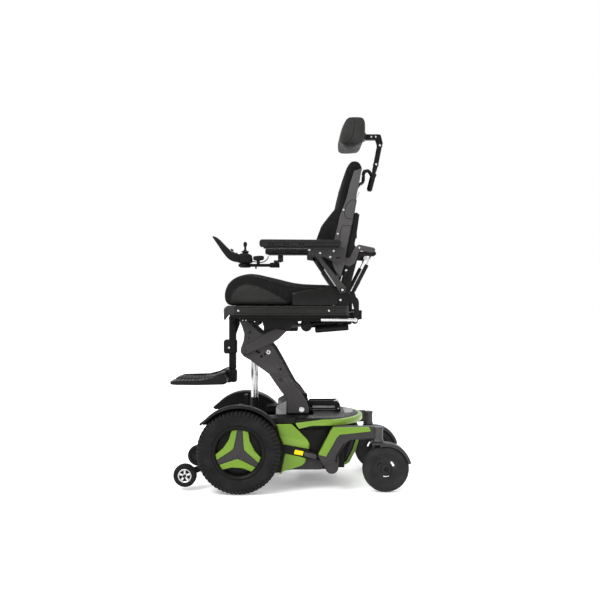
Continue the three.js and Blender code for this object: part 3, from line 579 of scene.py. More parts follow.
def beside_spoke(center, spoke, toward, along, offset):
    """A point a distance along a spoke's axis, then offset from it towards another direction."""
    axis, other = math.radians(spoke), math.radians(toward)
    turn = 1 if math.sin(other - axis) > 0 else -1
    x = along * math.cos(axis) - turn * offset * math.sin(axis)
    z = along * math.sin(axis) + turn * offset * math.cos(axis)
    return (center[0] + x, center[2] + z)


def lugged_tyre(name, center, profile, lugs, depth, side):
    """A tyre with a band of shoulder lugs. Each profile point is (radius, distance, share of the lug depth)."""
    steps = (0.0, 0.1, 0.5, 0.6)
    middle = sum(p[1] for p in profile) / len(profile)
    points, faces = [], []
    for i in range(lugs):
        for k, step in enumerate(steps):
            groove = 1.0 if k in (0, 3) else 0.0
            for radius, distance, share in profile:
                lean = 0.35 * (abs(distance - middle) / 36) * share
                angle = 2 * math.pi * (i + step + lean) / lugs
                r = radius - depth * share * groove
                d = distance + (middle - distance) * 0.07 * share * groove
                points.append((center[0] + r * math.cos(angle), side * d, center[2] + r * math.sin(angle)))
    n, rings = len(profile), lugs * len(steps)
    for i in range(rings):
        j = (i + 1) % rings
        for k in range(n):
            m = (k + 1) % n
            faces.append((i * n + k, i * n + m, j * n + m, j * n + k))
    return mesh_object(name, points, faces)


def drive_wheel(word, side):
    hub = hub_of(f"drive_spin_{word}")
    low, high = box_of(f"drive_tyre_{word}")
    inner, outer = sorted((abs(low.y) / MM, abs(high.y) / MM))
    body = f"drive_wheel_{word}"
    profile = [(RIM_R, outer - 10, 0), (118, outer - 5, 0), (132, outer - 1.5, 0), (146, outer - 0.5,
        0), (151, outer - 0.4, 0), (153, outer, 0.6), (163, outer - 2.5, 1), (171, outer - 8, 1),
        (175.5, outer - 14, 1), (DRIVE_R - 0.4, outer - 21, 0.5), (DRIVE_R, outer - 26, 0.3),
        (175, outer - 27, 0.2), (175, outer - 31, 0.2), (DRIVE_R, outer - 32, 0.3),
        (DRIVE_R, inner + 32, 0.3), (175, inner + 31, 0.2), (175, inner + 27, 0.2),
        (DRIVE_R, inner + 26, 0.3), (DRIVE_R - 0.4, inner + 21, 0.5), (175.5, inner + 14, 1),
        (171, inner + 8, 1), (163, inner + 2.5, 1), (153, inner, 0.6), (151, inner + 0.4, 0),
        (132, inner + 1.5, 0), (RIM_R, inner + 10, 0), (RIM_R - 3, inner + 20, 0),
        (RIM_R - 3, outer - 20, 0)]
    tyre = lugged_tyre(f"drive_tyre_skin_{word}", hub, profile, 60, 4.6, side)
    piece(tyre, body, "tyre", [f"drive_tyre_{word}"], angle=32)

    at = (hub.x, 0, hub.z)
    lip = lathe(f"drive_rim_lip_{word}", [(RIM_R + 1, outer - 9), (RIM_R - 1, outer - 5.5),
        (RIM_R - 6, outer - 7), (100, outer - 12), (96.5, outer - 19), (96, 246), (103, inner + 5),
        (RIM_R - 0.5, inner + 7)], at, side=side, sides=96, radius=3)
    piece(lip, body, "black_metal", [f"drive_rim_{word}"])
    dish = lathe(f"drive_rim_dish_{word}", [(97.5, 262), (97.5, 270), (60, 272), (40, 270), (30, 262),
        (30, inner + 2), (14, inner + 2), (14, 258), (44, 258)], at, side=side, sides=72, radius=3)
    piece(dish, body, "black_plastic")

    spokes = [86 + 120 * i for i in range(3)] if side < 0 else [94 + 120 * i for i in range(3)]
    star_edge = []
    for spoke in spokes:
        before, after = spoke - 60, spoke + 60
        star_edge += [beside_spoke(hub, spoke, before, 30, 18.5), beside_spoke(hub, spoke, before, 94,
            10.2), polar(hub, 97, spoke - 5), polar(hub, 97.5, spoke), polar(hub, 97, spoke + 5),
            beside_spoke(hub, spoke, after, 94, 10.2), beside_spoke(hub, spoke, after, 30, 18.5),
            (*polar(hub, 25.5, after), 10)]
    star = plate(f"drive_rim_star_{word}", star_edge, side * 268, side * 289, 2.0, radius=2)
    piece(star, body, "dark_grey")
    cap = lathe(f"drive_hub_cap_{word}", [(0.01, 290), (15, 289.8), (17.5, 288), (17.5, 284),
        (0.01, 284)], at, side=side, sides=48, radius=1.2)
    piece(cap, body, "dark_grey")
    inserts = []
    for spoke in spokes:
        middle, other = spoke + 60, spoke + 120
        edge = [(*polar(hub, 27, middle), 10), beside_spoke(hub, spoke, middle, 31, 19.6),
            beside_spoke(hub, spoke, middle, 95.5, 11.4), beside_spoke(hub, spoke, middle, 91, 35),
            (*beside_spoke(hub, spoke, middle, 52, 44), 8), (*beside_spoke(hub, other, middle, 52, 44),
            8), beside_spoke(hub, other, middle, 91, 35), beside_spoke(hub, other, middle, 95.5, 11.4),
            beside_spoke(hub, other, middle, 31, 19.6)]
        inserts.append(plate("insert", edge, side * 268, side * 290.5, 2.4, radius=2.6))
    piece(joined(f"drive_rim_inserts_{word}", inserts), body, "green")


def caster_wheel(word, side):
    hub = hub_of(f"caster_spin_{word}")
    y = abs(hub.y)
    at = (hub.x, 0, hub.z)
    body = f"caster_wheel_{word}"
    tread = [(62, y - 17), (70, y - 21), (82, y - 23.5), (91, y - 22), (97.5, y - 15),
        (CASTER_R, y - 6), (CASTER_R, y + 6), (97.5, y + 15), (91, y + 22), (82, y + 23.5),
        (70, y + 21), (62, y + 17)]
    tyre = lathe(f"caster_tyre_{word}", tread, at, side=side, sides=96, radius=4)
    piece(tyre, body, "caster", [f"caster_wheel_{word}"])
    disc_profile = [(9, y - 22), (19, y - 22), (23, y - 13), (50, y - 11), (58, y - 16), (63, y - 17),
        (63, y + 17), (58, y + 16), (50, y + 11), (23, y + 13), (19, y + 22), (9, y + 22)]
    disc = lathe(f"caster_disc_{word}", disc_profile, at, side=side, sides=96, radius=2)
    slots = []
    for middle in (32, 152, 272):
        arc = (circle((hub.x, hub.z), 40, 8, middle - 22, middle + 22) + circle((hub.x, hub.z), 31, 8,
            middle - 22, middle + 22)[::-1])
        slots.append(plate("slot", [(p[0], p[1], 3) for p in arc], y * side - 30, y * side + 30, 0.2,
            radius=2))
    cut(disc, slots)
    piece(disc, body, "caster")
    caps = [lathe("cap", [(0.01, y + s * 25), (6, y + s * 25), (8.8, y + s * 23), (8.8, y + s * 20),
        (0.01, y + s * 20)], at, side=side, sides=32, radius=1) for s in (-1, 1)]
    piece(joined(f"caster_axle_caps_{word}", caps), f"caster_fork_{word}", "black_metal")


def antitip_wheel(word, side):
    hub = hub_of(f"antitip_spin_{word}")
    y = abs(hub.y)
    at = (hub.x, 0, hub.z)
    body = f"antitip_wheel_{word}"
    tread = [(31, y - 14), (40, y - 16.5), (46, y - 14), (ANTITIP_R, y - 8), (ANTITIP_R, y + 8),
        (46, y + 14), (40, y + 16.5), (31, y + 14)]
    tyre = lathe(f"antitip_tyre_{word}", tread, at, side=side, sides=72, radius=5)
    piece(tyre, body, "tyre", [f"antitip_wheel_{word}"])
    disc = lathe(f"antitip_dish_{word}", [(8, y - 13), (31.5, y - 12), (31.5, y + 10), (8, y + 9)], at,
        side=side, sides=48)
    piece(disc, body, "black_plastic")
    ring = lathe("ring", [(23, y + 8), (29.5, y + 8), (29.5, y + 15), (26.5, y + 16), (23, y + 13)], at,
        side=side, sides=64, radius=1)
    parts = [ring, lathe("boss", [(0.01, y + 8), (10, y + 8), (10, y + 14.5), (0.01, y + 16.4)], at,
        side=side, sides=40)]
    for i in range(5):
        spoke = 90 + 72 * i
        edge = [beside_spoke(hub, spoke, spoke + 60, 7, 4), beside_spoke(hub, spoke, spoke + 60, 25,
            5.4), beside_spoke(hub, spoke, spoke - 60, 25, 5.4), beside_spoke(hub, spoke, spoke - 60, 7,
            4)]
        parts.append(plate("spoke", edge, side * (y + 8), side * (y + 13.5), 1.2, radius=0.5))
    piece(joined(f"antitip_spokes_{word}", parts), body, "steel")


# ---- covers over the base ----
def fender(word, side):
    """An arch over the drive wheel with a closed inner wall. Its front end flares up to a lip."""
    hub = hub_of(f"drive_spin_{word}")
    wall_low = 128
    skin = [(wall_low, 232), (186, 232), (193.5, 234), (197, 240), (198, 250), (198, 292), (196, 301),
        (190.5, 305.5), (188.5, 303.5), (193, 299), (195, 291), (195, 251), (194, 243), (190.5, 237.5),
        (185, 235.2), (wall_low, 235.2)]
    rings = []
    for i in range(57):
        share = i / 56
        angle = math.radians(36 + 109 * share)
        flare = 7 * max(0.0, (share - 0.9) / 0.1) ** 1.6
        narrow = max(0.0, (share - 0.86) / 0.14) ** 1.5
        ring = []
        for r, d in skin:
            r_low = max(r, 150 + 38 * narrow) if r < 186 else r
            spot = r_low + (flare if r > 184 else 0.0)
            across = d if d < 245 else d - 26 * narrow * (d - 245) / 60
            ring.append((hub.x + spot * math.cos(angle), side * across, hub.z + spot * math.sin(angle)))
        rings.append(ring)
    arch = loft(f"fender_skin_{word}", rings)
    bracket = block("bracket", hub.x - 8, hub.x + 8, side * 168.5, side * 233, 357, 365.5, 1.2)
    piece(joined(f"fender_shell_{word}", [arch, bracket]), "base", "black_plastic", [f"fender_{word}"],
        angle=42)


def side_panel(word, side):
    """The green side cover in two halves with a black stripe between them, on a black inner panel."""
    upper = [(-53, 288), (14, 290, 6), (31, 275, 6), (86, 219, 8), (93, 203, 6), (91, 181),
        (-20, 201, 3), (-36, 236, 6)]
    lower = [(-12, 163, 3), (52, 150), (78, 140, 3), (74, 124, 6), (61, 111, 9), (18, 96, 12),
        (-22, 84, 8), (-34, 71, 1.5), (-27, 98, 20), (-17, 150, 6)]
    panels = [plate("upper", upper, side * 207, side * 231, 5.5, radius=3), plate("lower", lower,
        side * 207, side * 230.4, 5.0, radius=3)]
    piece(joined(f"side_cover_{word}", panels), "base", "green", [f"side_panel_{word}"], angle=50)
    inner = [(-150, 120), (-150, 268), (-118, 287), (10, 287), (26, 273), (80, 218), (87, 203),
        (86, 176), (128, 160), (128, 136), (78, 141), (70, 126), (58, 113), (16, 99), (-34, 78),
        (-118, 78)]
    back = plate(f"side_inner_{word}", inner, side * 203.5, side * 223, 2.0, radius=6)
    piece(back, "base", "black_plastic")
    stripe = [(-22, 200), (91, 179), (88, 142), (-14, 163)]
    band = plate(f"side_stripe_{word}", stripe, side * 212, side * 229, 1.6, radius=3)
    piece(band, "base", "black_plastic")
    mark = plate(f"side_marker_{word}", [(31, 179), (67, 172), (63, 154), (26, 161)], side * 226,
        side * 230.2, 0.6, radius=1.5)
    piece(mark, "base", "yellow")
    tab = [(70, 169), (122, 158, 6), (125, 146, 6), (118, 139, 4), (70, 151)]
    grip = plate(f"side_tab_{word}", tab, side * 214, side * 231, 3.0, radius=4)
    piece(grip, "base", "mid_grey")


def rear_path(half_width, straight_to, length, front, steps=40):
    """The plan line of the rear body: back along one side, round half an ellipse and forward again."""
    line = [(front, -half_width)]
    count = 8
    line += [(front + (straight_to - front) * (i + 1) / count, -half_width) for i in range(count)]
    for i in range(1, steps):
        angle = math.pi * (i / steps - 0.5)
        line.append((straight_to + length * math.cos(angle), half_width * math.sin(angle)))
    line += [(straight_to + (front - straight_to) * i / count, half_width) for i in range(count + 1)]
    return line


REAR_STRAIGHT = 150


def trim_ring():
    """The green band round the rear, wider on top at the tail and dropping to a lip at each front end."""
    line = [Vector(p) for p in rear_path(228, REAR_STRAIGHT, 187, 34)]
    rings = []
    for i, point in enumerate(line):
        ahead = line[min(i + 1, len(line) - 1)] - line[max(i - 1, 0)]
        inward = Vector((-ahead.y, ahead.x)).normalized()
        tail = max(0.0, (point.x - 190) / 147)
        width = 9 + 22 * tail ** 1.6
        front = max(0.0, 1 - (point.x - 34) / 120)
        top = 307.5 - 15 * front
        low = 282 - 12 * max(0.0, 1 - abs(point.x - 50) / 50) - 2 * front
        if point.x < 36:
            low = 285
        section = [(1.5, low), (0, low + 3), (0, top - 7), (1.5, top - 3), (4.5, top - 0.8),
            (width * 0.6, top), (width, top), (width, top - 6), (6, top - 9), (4, low + 2)]
        ring = [(point.x + inward.x * n, point.y + inward.y * n, z) for n, z in section]
        rings.append(ring)
    band = loft("trim_band", rings)
    piece(band, "base", "green", ["trim_ring"], angle=40)


COVER_FRONT = -115
CHANNEL_HALF = 150
CHANNEL_END = 112


def top_cover():
    """The black cover: a crowned lid with a soft edge on a plain skirt, with a channel for the lift arm."""
    levels = [(5, 264), (3, 266), (3, 285), (0, 292), (0, 297), (2.5, 302.5), (8, 307.5), (18, 311.5),
        (36, 314.8), (66, 316.6), (100, 317)]
    rings = []
    for inset, z in levels:
        half = 217 - inset if z >= 285 else 206 - inset
        length = 176 - inset if z >= 285 else 164 - inset
        front = COVER_FRONT + (0 if z < 300 else 0.4 * inset)
        rings.append([(x, y, z) for x, y in rear_path(half, REAR_STRAIGHT, length, front)])
    lid = loft("cover", rings)
    channel = block("channel", COVER_FRONT - 40, CHANNEL_END, -CHANNEL_HALF, CHANNEL_HALF, 240, 350, 0.5, 14)
    room_outline = rear_path(196, REAR_STRAIGHT, 152, CHANNEL_END - 260)
    room = slab("room", [(x, y) for x, y in room_outline], 240, 288, 0.5, radius=0)
    cut(lid, [channel, room])
    brims = [block("brim", COVER_FRONT, 32, side * 205, side * 231, 292, 316, 5, 9) for _, side in SIDES]
    piece(joined("cover_shell", [lid, *brims]), "base", "black_plastic", ["top_cover"], angle=40)
    seam = [(x, y, 316.6) for x, y in rear_path(150, REAR_STRAIGHT, 112, CHANNEL_END + 4)]
    piece(pipe("cover_seam", seam, 0.9, 8), "base", "piping")
    # A silver slab on the lid's tail: painted highlight, where the glossy black lid reflects the light.
    painted_highlight_patch = slab("cover_painted_highlight", [(252, -84, 14), (278, -74, 12), (291, -44, 20), (294, 0, 60),
        (291, 44, 20), (278, 74, 12), (252, 84, 14)], 311, 318.0, 1.0, radius=12)
    piece(painted_highlight_patch, "base", "painted_highlight_grey")


# ---- base body ----
def bolt_head(at, side, radius=5.0, height=3.4):
    """A button-head screw with a hex socket, seen from the outside of a plate."""
    x, y, z = at
    dome = [(0.01, y - 1), (radius, y - 1), (radius, y + 0.3 * height), (radius * 0.72,
        y + 0.86 * height), (radius * 0.45, y + height), (radius * 0.45, y + 0.3 * height),
        (0.01, y + 0.3 * height)]
    return lathe("bolt", dome, (x, 0, z), side=side, sides=18, radius=0.4)


def bolts(name, body, places, look="steel", radius=5.0, height=3.4):
    """Screws on both sides of the chair, or on one. A place is (x, distance out, z) with an optional side."""
    heads = []
    for place in places:
        sides = [place[3]] if len(place) > 3 else [-1, 1]
        heads += [bolt_head(place[:3], side, radius, height) for side in sides]
    return piece(joined(name, heads), body, look, angle=30)


def base_body():
    for word, side in SIDES:
        ribs = []
        for i in range(14):
            x = 66 + 9.5 * i
            top = 276 - 0.03 * (x - 60)
            low = 214 + 0.5 * max(0, 120 - x) if x < 140 else 214 + 0.2 * (x - 140)
            ribs.append(plate("rib", box_ring(x - 2.2, x + 2.2, low, top), side * 202, side * 207, 1.2,
                radius=1.5))
        piece(joined(f"vent_ribs_{word}", ribs), "base", "black_plastic")
        skirt = [(-34, 79), (18, 88), (140, 88, 8), (168, 96, 14), (176, 140, 12), (160, 200, 10),
            (166, 262, 8), (-40, 262, 8), (-40, 90)]
        cover = plate(f"body_skirt_{word}", skirt, side * 196, side * 206, 3.0, radius=6)
        piece(cover, "base", "black_plastic")
        sill = [(-20, 90), (118, 90, 6), (152, 94, 10), (150, 128, 10), (126, 138, 8), (60, 142, 10),
            (-10, 138, 10)]
        low = plate(f"body_sill_{word}", sill, side * 200, side * 212, 4.0, radius=6)
        piece(low, "base", "dark_grey")

    shell_edge = [(236, 95), (250, 92, 6), (265, 106, 20), (292, 158, 40), (306, 204, 30),
        (309, 262, 8), (236, 262)]
    halves = [plate("half", shell_edge, side * 3, side * 122, 12, radius=10) for _, side in SIDES]
    piece(joined("battery_shell", halves), "base", "black_plastic")
    rim = [(x + 2.5, z, 20) for x, z in ((246, 90), (268, 102), (297, 157), (310, 203), (313, 262))]
    rim += [(x - 9, z) for x, z in ((311, 262), (308, 203), (293, 159), (265, 106), (246, 97))]
    piece(plate("battery_shell_trim", rim, -124, 124, 1.0, radius=10), "base", "green")
    grips = [plate("recess", [(250, 116), (258, 122), (284, 172), (294, 212), (282, 214), (266, 170)],
        side * 118, side * 125, 1.5, radius=5) for _, side in SIDES]
    piece(joined("battery_shell_recess", grips), "base", "dark_grey")

    panels = []
    for _, side in SIDES:
        panels.append(plate("foot", [(-54, 318), (-54, 349, 3), (-46, 357, 4), (-8, 377, 3), (-8, 318)],
            side * 143.4, side * 149.4, 2.0, radius=2))
    piece(joined("lift_foot_covers", panels), "base", "light_grey")

    outline = [(88, 317.5, 1), (88, 352, 8), (97, 365, 8), (214, 365, 10), (231, 352, 12), (238, 317.5, 1)]
    slot_hole = rounded(box_ring(100, 214, 323, 341.5), 7)
    rails = [plate("rail", outline, side * 26, side * 36, 3.0, holes=[slot_hole], radius=6) for _,
        side in SIDES]
    rails.append(lathe("rod", rod_profile(7, -27, 27), (223, 0, 348), sides=28))
    piece(joined("rear_rail_bars", rails), "base", "black_metal", ["rear_rail"])
    bolts("rear_rail_screws", "base", [(226, 36, 328)], radius=3.4, height=2.2)
    loops = []
    for _, side in SIDES:
        hook = spline_through([(206, side * 37, 363), (220, side * 38.5, 364), (231, side * 39, 353),
            (236, side * 38.5, 338)], 8)
        loops.append(pipe("hook", hook, 2.0, 12))
    piece(joined("rear_rail_hooks", loops), "base", "steel")

    for node, look, width in (("chassis_frame", "black_metal", 1.2), ("antitip_arm_left", "black_metal",
            1.5), ("antitip_arm_right", "black_metal", 1.5), ("battery_left", "black_plastic", 3),
            ("battery_right", "black_plastic", 3), ("drive_motor_left", "black_metal", 1),
            ("drive_motor_right", "black_metal", 1)):
        keep(node, look, width)


def keep(node, look, width=1.0, angle=35):
    """A CAD node that stays: softened edges and a finished material."""
    obj = frame["nodes"][node]
    obj.data.materials.clear()
    obj.data.materials.append(LOOK[look])
    shade(obj, angle)
    if width:
        softened(obj, width)


# ---- caster arms ----
def caster_arm(word, side):
    pivot = hub_of(f"caster_arm_swing_{word}")
    stem = hub_of(f"caster_swivel_{word}")
    body = f"caster_arm_{word}"
    inner, outer = 209, 255
    edge = [(165, 97, 10), (128, 156, 6), (186, 269, 10), (200, 281.5, 14), (372, 281.5, 3),
        (372, 230, 3), (268, 225, 8), (250, 214, 16), (217, 160, 10), (216, 112, 8)]
    leg = plate("leg", edge, side * inner, side * outer, 5, radius=6)
    boss = lathe("boss", [(12.6, 206), (26, 206), (28, 210), (28, 257), (25.5, 260), (21, 260),
        (19.5, 257.5), (0.01, 257.5), (0.01, 249.4), (12.6, 249.4)], (pivot.x, 0, pivot.z), side=side,
        sides=56)
    arm = joined(f"caster_arm_beam_{word}", [leg, boss])
    piece(arm, body, "dark_grey", [f"caster_arm_{word}"])
    # A black plate on the leg's lower hollow: painted shade, standing for the shadow inside the hollow.
    slot = plate(f"caster_arm_recess_{word}", [(200, 128), (206, 160), (236, 208), (246, 214),
        (228, 178), (213, 152), (210, 126)], side * 250, side * 256.2, 1.0, radius=5)
    piece(slot, body, "black_plastic")
    inlay = plate(f"caster_arm_inlay_{word}", [(194, 279.5, 8), (346, 281, 5), (355, 262, 4),
        (222, 247.5, 9), (210, 236, 8), (163, 154, 3), (130, 163, 4), (183, 264, 10)], side * 228,
        side * 258.4, 2.6, radius=5)
    piece(inlay, body, "green")
    barrel = lathe(f"caster_barrel_{word}", [(11.7, 215), (21, 215), (24.5, 217), (24.5, 222),
        (22.5, 225), (22.5, 268), (24, 270), (24, 276), (21, 279), (0.01, 279), (0.01, 276.5),
        (11.7, 276.5)], (stem.x, stem.y, 0), axis="Z", sides=64)
    piece(barrel, body, "barrel")


def caster_fork(word, side):
    stem = hub_of(f"caster_swivel_{word}")
    hub = hub_of(f"caster_spin_{word}")
    y = abs(hub.y)
    body = f"caster_fork_{word}"
    y_in = y - 36
    crown = [(360, 202, 3), (360, 212, 4), (412, 212.5, 8), (434, 206, 6), (441, 198, 3), (424, 202)]
    parts = [plate("crown", crown, side * y_in, side * (y + 24), 2.4, radius=3)]
    parts.append(lathe("race", [(0.01, 207), (19, 207), (21, 209), (21, 213.6), (18, 214.6),
        (0.01, 214.6)], (stem.x, stem.y, 0), axis="Z", sides=56))
    leg = [(368, 208, 6), (428, 208, 8), (438, 130, 40), (436, 96, 12), (428, 84, 12), (410, 84, 12),
        (401, 98, 12), (400, 130, 40), (374, 192, 30)]
    parts.append(plate("leg", leg, side * y_in, side * (y - 28), 2.4, radius=8))
    arc = circle((hub.x, hub.z), 110, 36, 13, 104) + circle((hub.x, hub.z), 105.5, 36, 13, 104)[::-1]
    parts.append(plate("guard", arc, side * (y - 30), side * (y + 26), 1.6, radius=0))
    for near, far in ((-32.5, -28.5), (24, 27.5)):
        wall = circle((hub.x, hub.z), 110, 30, 13, 104) + circle((hub.x, hub.z), 97, 30, 13, 104)[::-1]
        parts.append(plate("guard_wall", wall, side * (y + near), side * (y + far), 1.2, radius=0))
    parts.append(lathe("axle", rod_profile(8, y - 33, y + 24), (hub.x, 0, hub.z), side=side, sides=32))
    parts.append(lathe("stem", rod_profile(11, 205, 274), (stem.x, stem.y, 0), axis="Z", sides=32))
    piece(joined(f"caster_fork_frame_{word}", parts), body, "dark_grey", [f"caster_fork_{word}"])


# ---- seat lift ----
def lift_arm():
    pivot, knee = hub_of("seat_lift"), hub_of("carrier_level")
    profile = [(-206, 588, 12), (-197, 574, 12), (-168, 557), (-137, 533), (-103, 509), (-85, 496, 10),
        (-67, 469), (-36, 425), (-6, 384, 20), (-6, 322, 6), (92, 322, 6), (92, 346, 14), (76, 384, 30),
        (54, 416, 30), (32, 438, 20), (8, 480, 60), (-14, 522, 60), (-36, 562), (-58, 600),
        (-84, 632, 16), (-104, 630, 16), (-150, 607), (-204, 606, 12)]
    cheeks = []
    for _, side in SIDES:
        holes = [circle((-118, 573), 6, 20), circle((-103, 583), 4.2, 16), circle((-34, 516), 4, 16)]
        holes.append(rounded([(-146, 596), (-128, 585), (-122, 592), (-141, 603)], 4))
        cheeks.append(plate("cheek", profile, side * 128.4, side * 142, 3.6, holes=holes, radius=8))
    for _, side in SIDES:
        for x, z, w, h in ((-42, 520, 26, 9), (-8, 462, 22, 9)):
            lean = Vector((0.545, -0.84))
            across = Vector((0.84, 0.545))
            middle = Vector((x, z))
            corners = [middle + lean * a + across * b for a, b in ((-w, -h), (w, -h), (w, h), (-w, h))]
            cutter = plate("engraved", [(p.x, p.y) for p in corners], side * 141.1, side * 146, 0.2, radius=3)
            inner_corners = [middle + lean * a + across * b for a, b in ((-w + 2, -h + 2),
                (w - 2, -h + 2), (w - 2, h - 2), (-w + 2, h - 2))]
            core = plate("core", [(p.x, p.y) for p in inner_corners], side * 140.6, side * 147, 0.2, radius=2)
            cut(cutter, [core])
            target = cheeks[0] if side == SIDES[0][1] else cheeks[1]
            cut(target, [cutter])
    web = [(-190, 596), (-84, 500), (-40, 442), (0, 380), (20, 350), (78, 350), (60, 396), (20, 440),
        (-20, 512), (-70, 596), (-90, 618), (-150, 600)]
    spans = [plate("web", web, 104, 128.6, 2, radius=8), plate("web", web, -104, -128.6, 2, radius=8)]
    tubes = [lathe("tube", rod_profile(r, -142, 142), (at[0], 0, at[1]), sides=40) for at,
        r in (((pivot.x, pivot.z), 12), ((-35, 470), 9))]
    tubes.append(lathe("knee", box_ring(10.2, 17, -142, 142), (knee.x, 0, knee.z), sides=44))
    tubes.append(lathe("eye_bar", rod_profile(8, -141, -13), (-144, 0, 582), sides=28))
    piece(joined("lift_arm_box", cheeks + spans + tubes), "lift_arm", "dark_grey", ["lift_arm"])
    caps = []
    for _, side in SIDES:
        caps.append(lathe("cap", [(0.01, 141), (13, 141), (13, 144.5), (11, 147), (7, 147.6),
            (6, 146.4), (0.01, 146.4)], (pivot.x, 0, pivot.z), side=side, sides=40, radius=0.6))
        caps.append(lathe("washer", box_ring(4.5, 9, 141, 143.6), (-87, 0, 592), side=side, sides=32,
            radius=0.5))
    piece(joined("lift_arm_caps", caps), "lift_arm", "steel")


def seat_carrier():
    knee = hub_of("carrier_level")
    front = [(-214, 752, 3), (-213, 728, 4), (-203, 706, 12), (-193, 672, 20), (-197, 640, 20),
        (-208, 612, 12), (-210, 594, 10), (-200, 584, 9), (-184, 586, 9), (-150, 606, 6),
        (-104, 668, 6), (-124, 678, 4), (-178, 728, 8), (-182, 752, 3)]
    strut = [(-208, 606, 10), (-201, 586, 9), (-184, 584, 9), (-157, 596), (-69, 633, 14),
        (-40, 652, 20), (-4, 688, 5), (-56, 696, 4), (-91, 680, 10), (-176, 628)]
    beam = [(-212, 728, 3), (184, 728, 8), (186, 752, 3), (-212, 752, 3)]
    rear_leg = [(-60, 690), (0, 684), (38, 738), (-100, 738), (-100, 694)]
    parts, dark = [], []
    for _, side in SIDES:
        holes = [circle((-168, 680), 6, 18), circle((-172, 656), 4.2, 16)]
        parts.append(plate("front", front, side * 144, side * 151, 1.8, holes=holes, radius=6))
        dark.append(plate("beam", beam, side * 144, side * 154, 2.0, radius=4))
        parts.append(plate("strut", strut, side * 145, side * 156, 2.6, radius=6))
        dark.append(plate("leg", rear_leg, side * 144, side * 150, 1.6, radius=5))
        dark.append(lathe("drum", [(0.01, 124), (21, 124), (24.5, 127), (24.5, 141), (22, 145),
            (0.01, 145)], (80, 0, 707), side=side, sides=48))
        dark.append(lathe("drum_cap", [(0.01, 143), (13, 143), (13, 147), (11, 148), (0.01, 148)],
            (80, 0, 707), side=side, sides=36))
    for x in (-196, -100, 20, 120):
        dark.append(block("tie", x - 12, x + 12, -147, 147, 734, 750, 2))
    dark.append(lathe("cross_tube", rod_profile(12, -146, 146), (-136, 0, 720), sides=36))
    lugs = [plate("lug", [(-192, 620), (-166, 620), (-158, 660), (-184, 740), (-208, 740)], y0, y1, 1.4,
        radius=8) for y0, y1 in ((44, 51), (69, 76))]
    lugs += [plate("lug", [(-15, 692, 12), (13, 692, 12), (22, 740), (-22, 740)], y0, y1, 1.2, radius=6)
        for y0, y1 in ((-120, -114), (-86, -80))]
    lugs.append(block("bridge", -14, 14, -120, -68, 722, 740, 1.6))
    pins = [lathe("shaft", rod_profile(9.5, -152, 152), (knee.x, 0, knee.z), sides=36)]
    pins.append(lathe("pin", rod_profile(6, 46, 74), (-179, 0, 634), sides=24))
    piece(joined("carrier_frame", parts + lugs + pins), "seat_carrier", "dark_grey", ["seat_carrier"])
    piece(joined("carrier_beams", dark), "seat_carrier", "black_metal")
    motor = bar("m", [(-74, 688, 8), (74, 688, 8), (74, 736, 3), (-74, 736, 3)], -108, -44, 3, radius=6)
    can = lathe("can", [(0.01, -50), (24, -50), (26, -47), (26, 36), (22, 43), (0.01, 45)],
        (0, -46, 706), axis="X", sides=48)
    twin = lathe("can", [(0.01, -50), (20, -50), (22, -47), (22, 36), (18, 43), (0.01, 45)],
        (0, 20, 710), axis="X", sides=48)
    fins = [block("fin", x - 1.6, x + 1.6, -76, 76, 690, 730, 1.2) for x in range(-98, -48, 10)]
    piece(joined("tilt_power_box", [motor, can, twin, *fins]), "seat_carrier", "black_plastic")
    boxes = [bar("b", [(side * 76, 676, 5), (side * 101, 676, 5), (side * 101, 736, 4), (side * 76, 736,
        4)], -110, -40, 3) for _, side in SIDES]
    piece(joined("carrier_side_boxes", boxes), "seat_carrier", "grey_plastic")
    covers = [bar("c", [(side * 84, 709, 5), (side * 140, 709, 5), (side * 140, 737, 4),
        (side * 84, 737, 4)], -112, 40, 3) for _, side in SIDES]
    piece(joined("carrier_side_covers", covers), "seat_carrier", "black_plastic")
    bolts("carrier_bolts", "seat_carrier", [(-199, 154, 733), (-186, 154, 733)], radius=3.6)
    bolts("carrier_knee_caps", "seat_carrier", [(knee.x, 156, knee.z)], look="dark_grey",
        radius=9, height=3)


def lift_actuator():
    """Three telescoping stages. The rod is bright chrome and the housing is moulded black."""
    base = hub_of("actuator_swing") + Vector((-4, 0, 0))
    top = Vector((-156, 0, 582))
    along = (top - base).normalized()
    turn = Vector((0, 0, 1)).rotation_difference(along).to_matrix().to_4x4()

    def stage(name, profile, body, look, replaces, extras=()):
        tube = lathe(name + "_t", profile, (0, 0, 0), axis="Z", sides=56)
        tube.data.transform(Matrix.Translation(base * MM) @ turn)
        return piece(joined(name, [tube, *extras]), body, look, replaces)

    eye = lathe("eye", box_ring(6.8, 15, -14, 14), (base.x, 0, base.z), sides=36)
    stage("actuator_barrel", [(0.01, 9), (19, 9), (21, 12), (21, 150), (23.5, 154), (23.5, 188),
        (22, 194), (19, 195.5), (18.7, 195.5), (18.7, 12), (0.01, 12)], "actuator_housing",
        "black_plastic", ["actuator_housing"], [eye])
    stage("actuator_middle", [(16.5, 67), (18.2, 67), (18.2, 246), (18.9, 248), (18.9, 253),
        (17.6, 255), (16.5, 255)], "actuator_tube", "black_metal", ["actuator_tube"])
    rod_eye = lathe("eye", box_ring(8.2, 16, -11, 11), (top.x, 0, top.z), sides=36)
    stage("actuator_chrome", [(0.01, 240), (16, 240), (16, 434), (14.5, 436), (14.5, 446), (0.01, 446)],
        "actuator_rod", "chrome", ["actuator_rod"], [rod_eye])


# ---- seat ----
RAIL_Y = (208, 232)
RAIL_Z = (757, 796)
RAIL_X = (-271, 259)


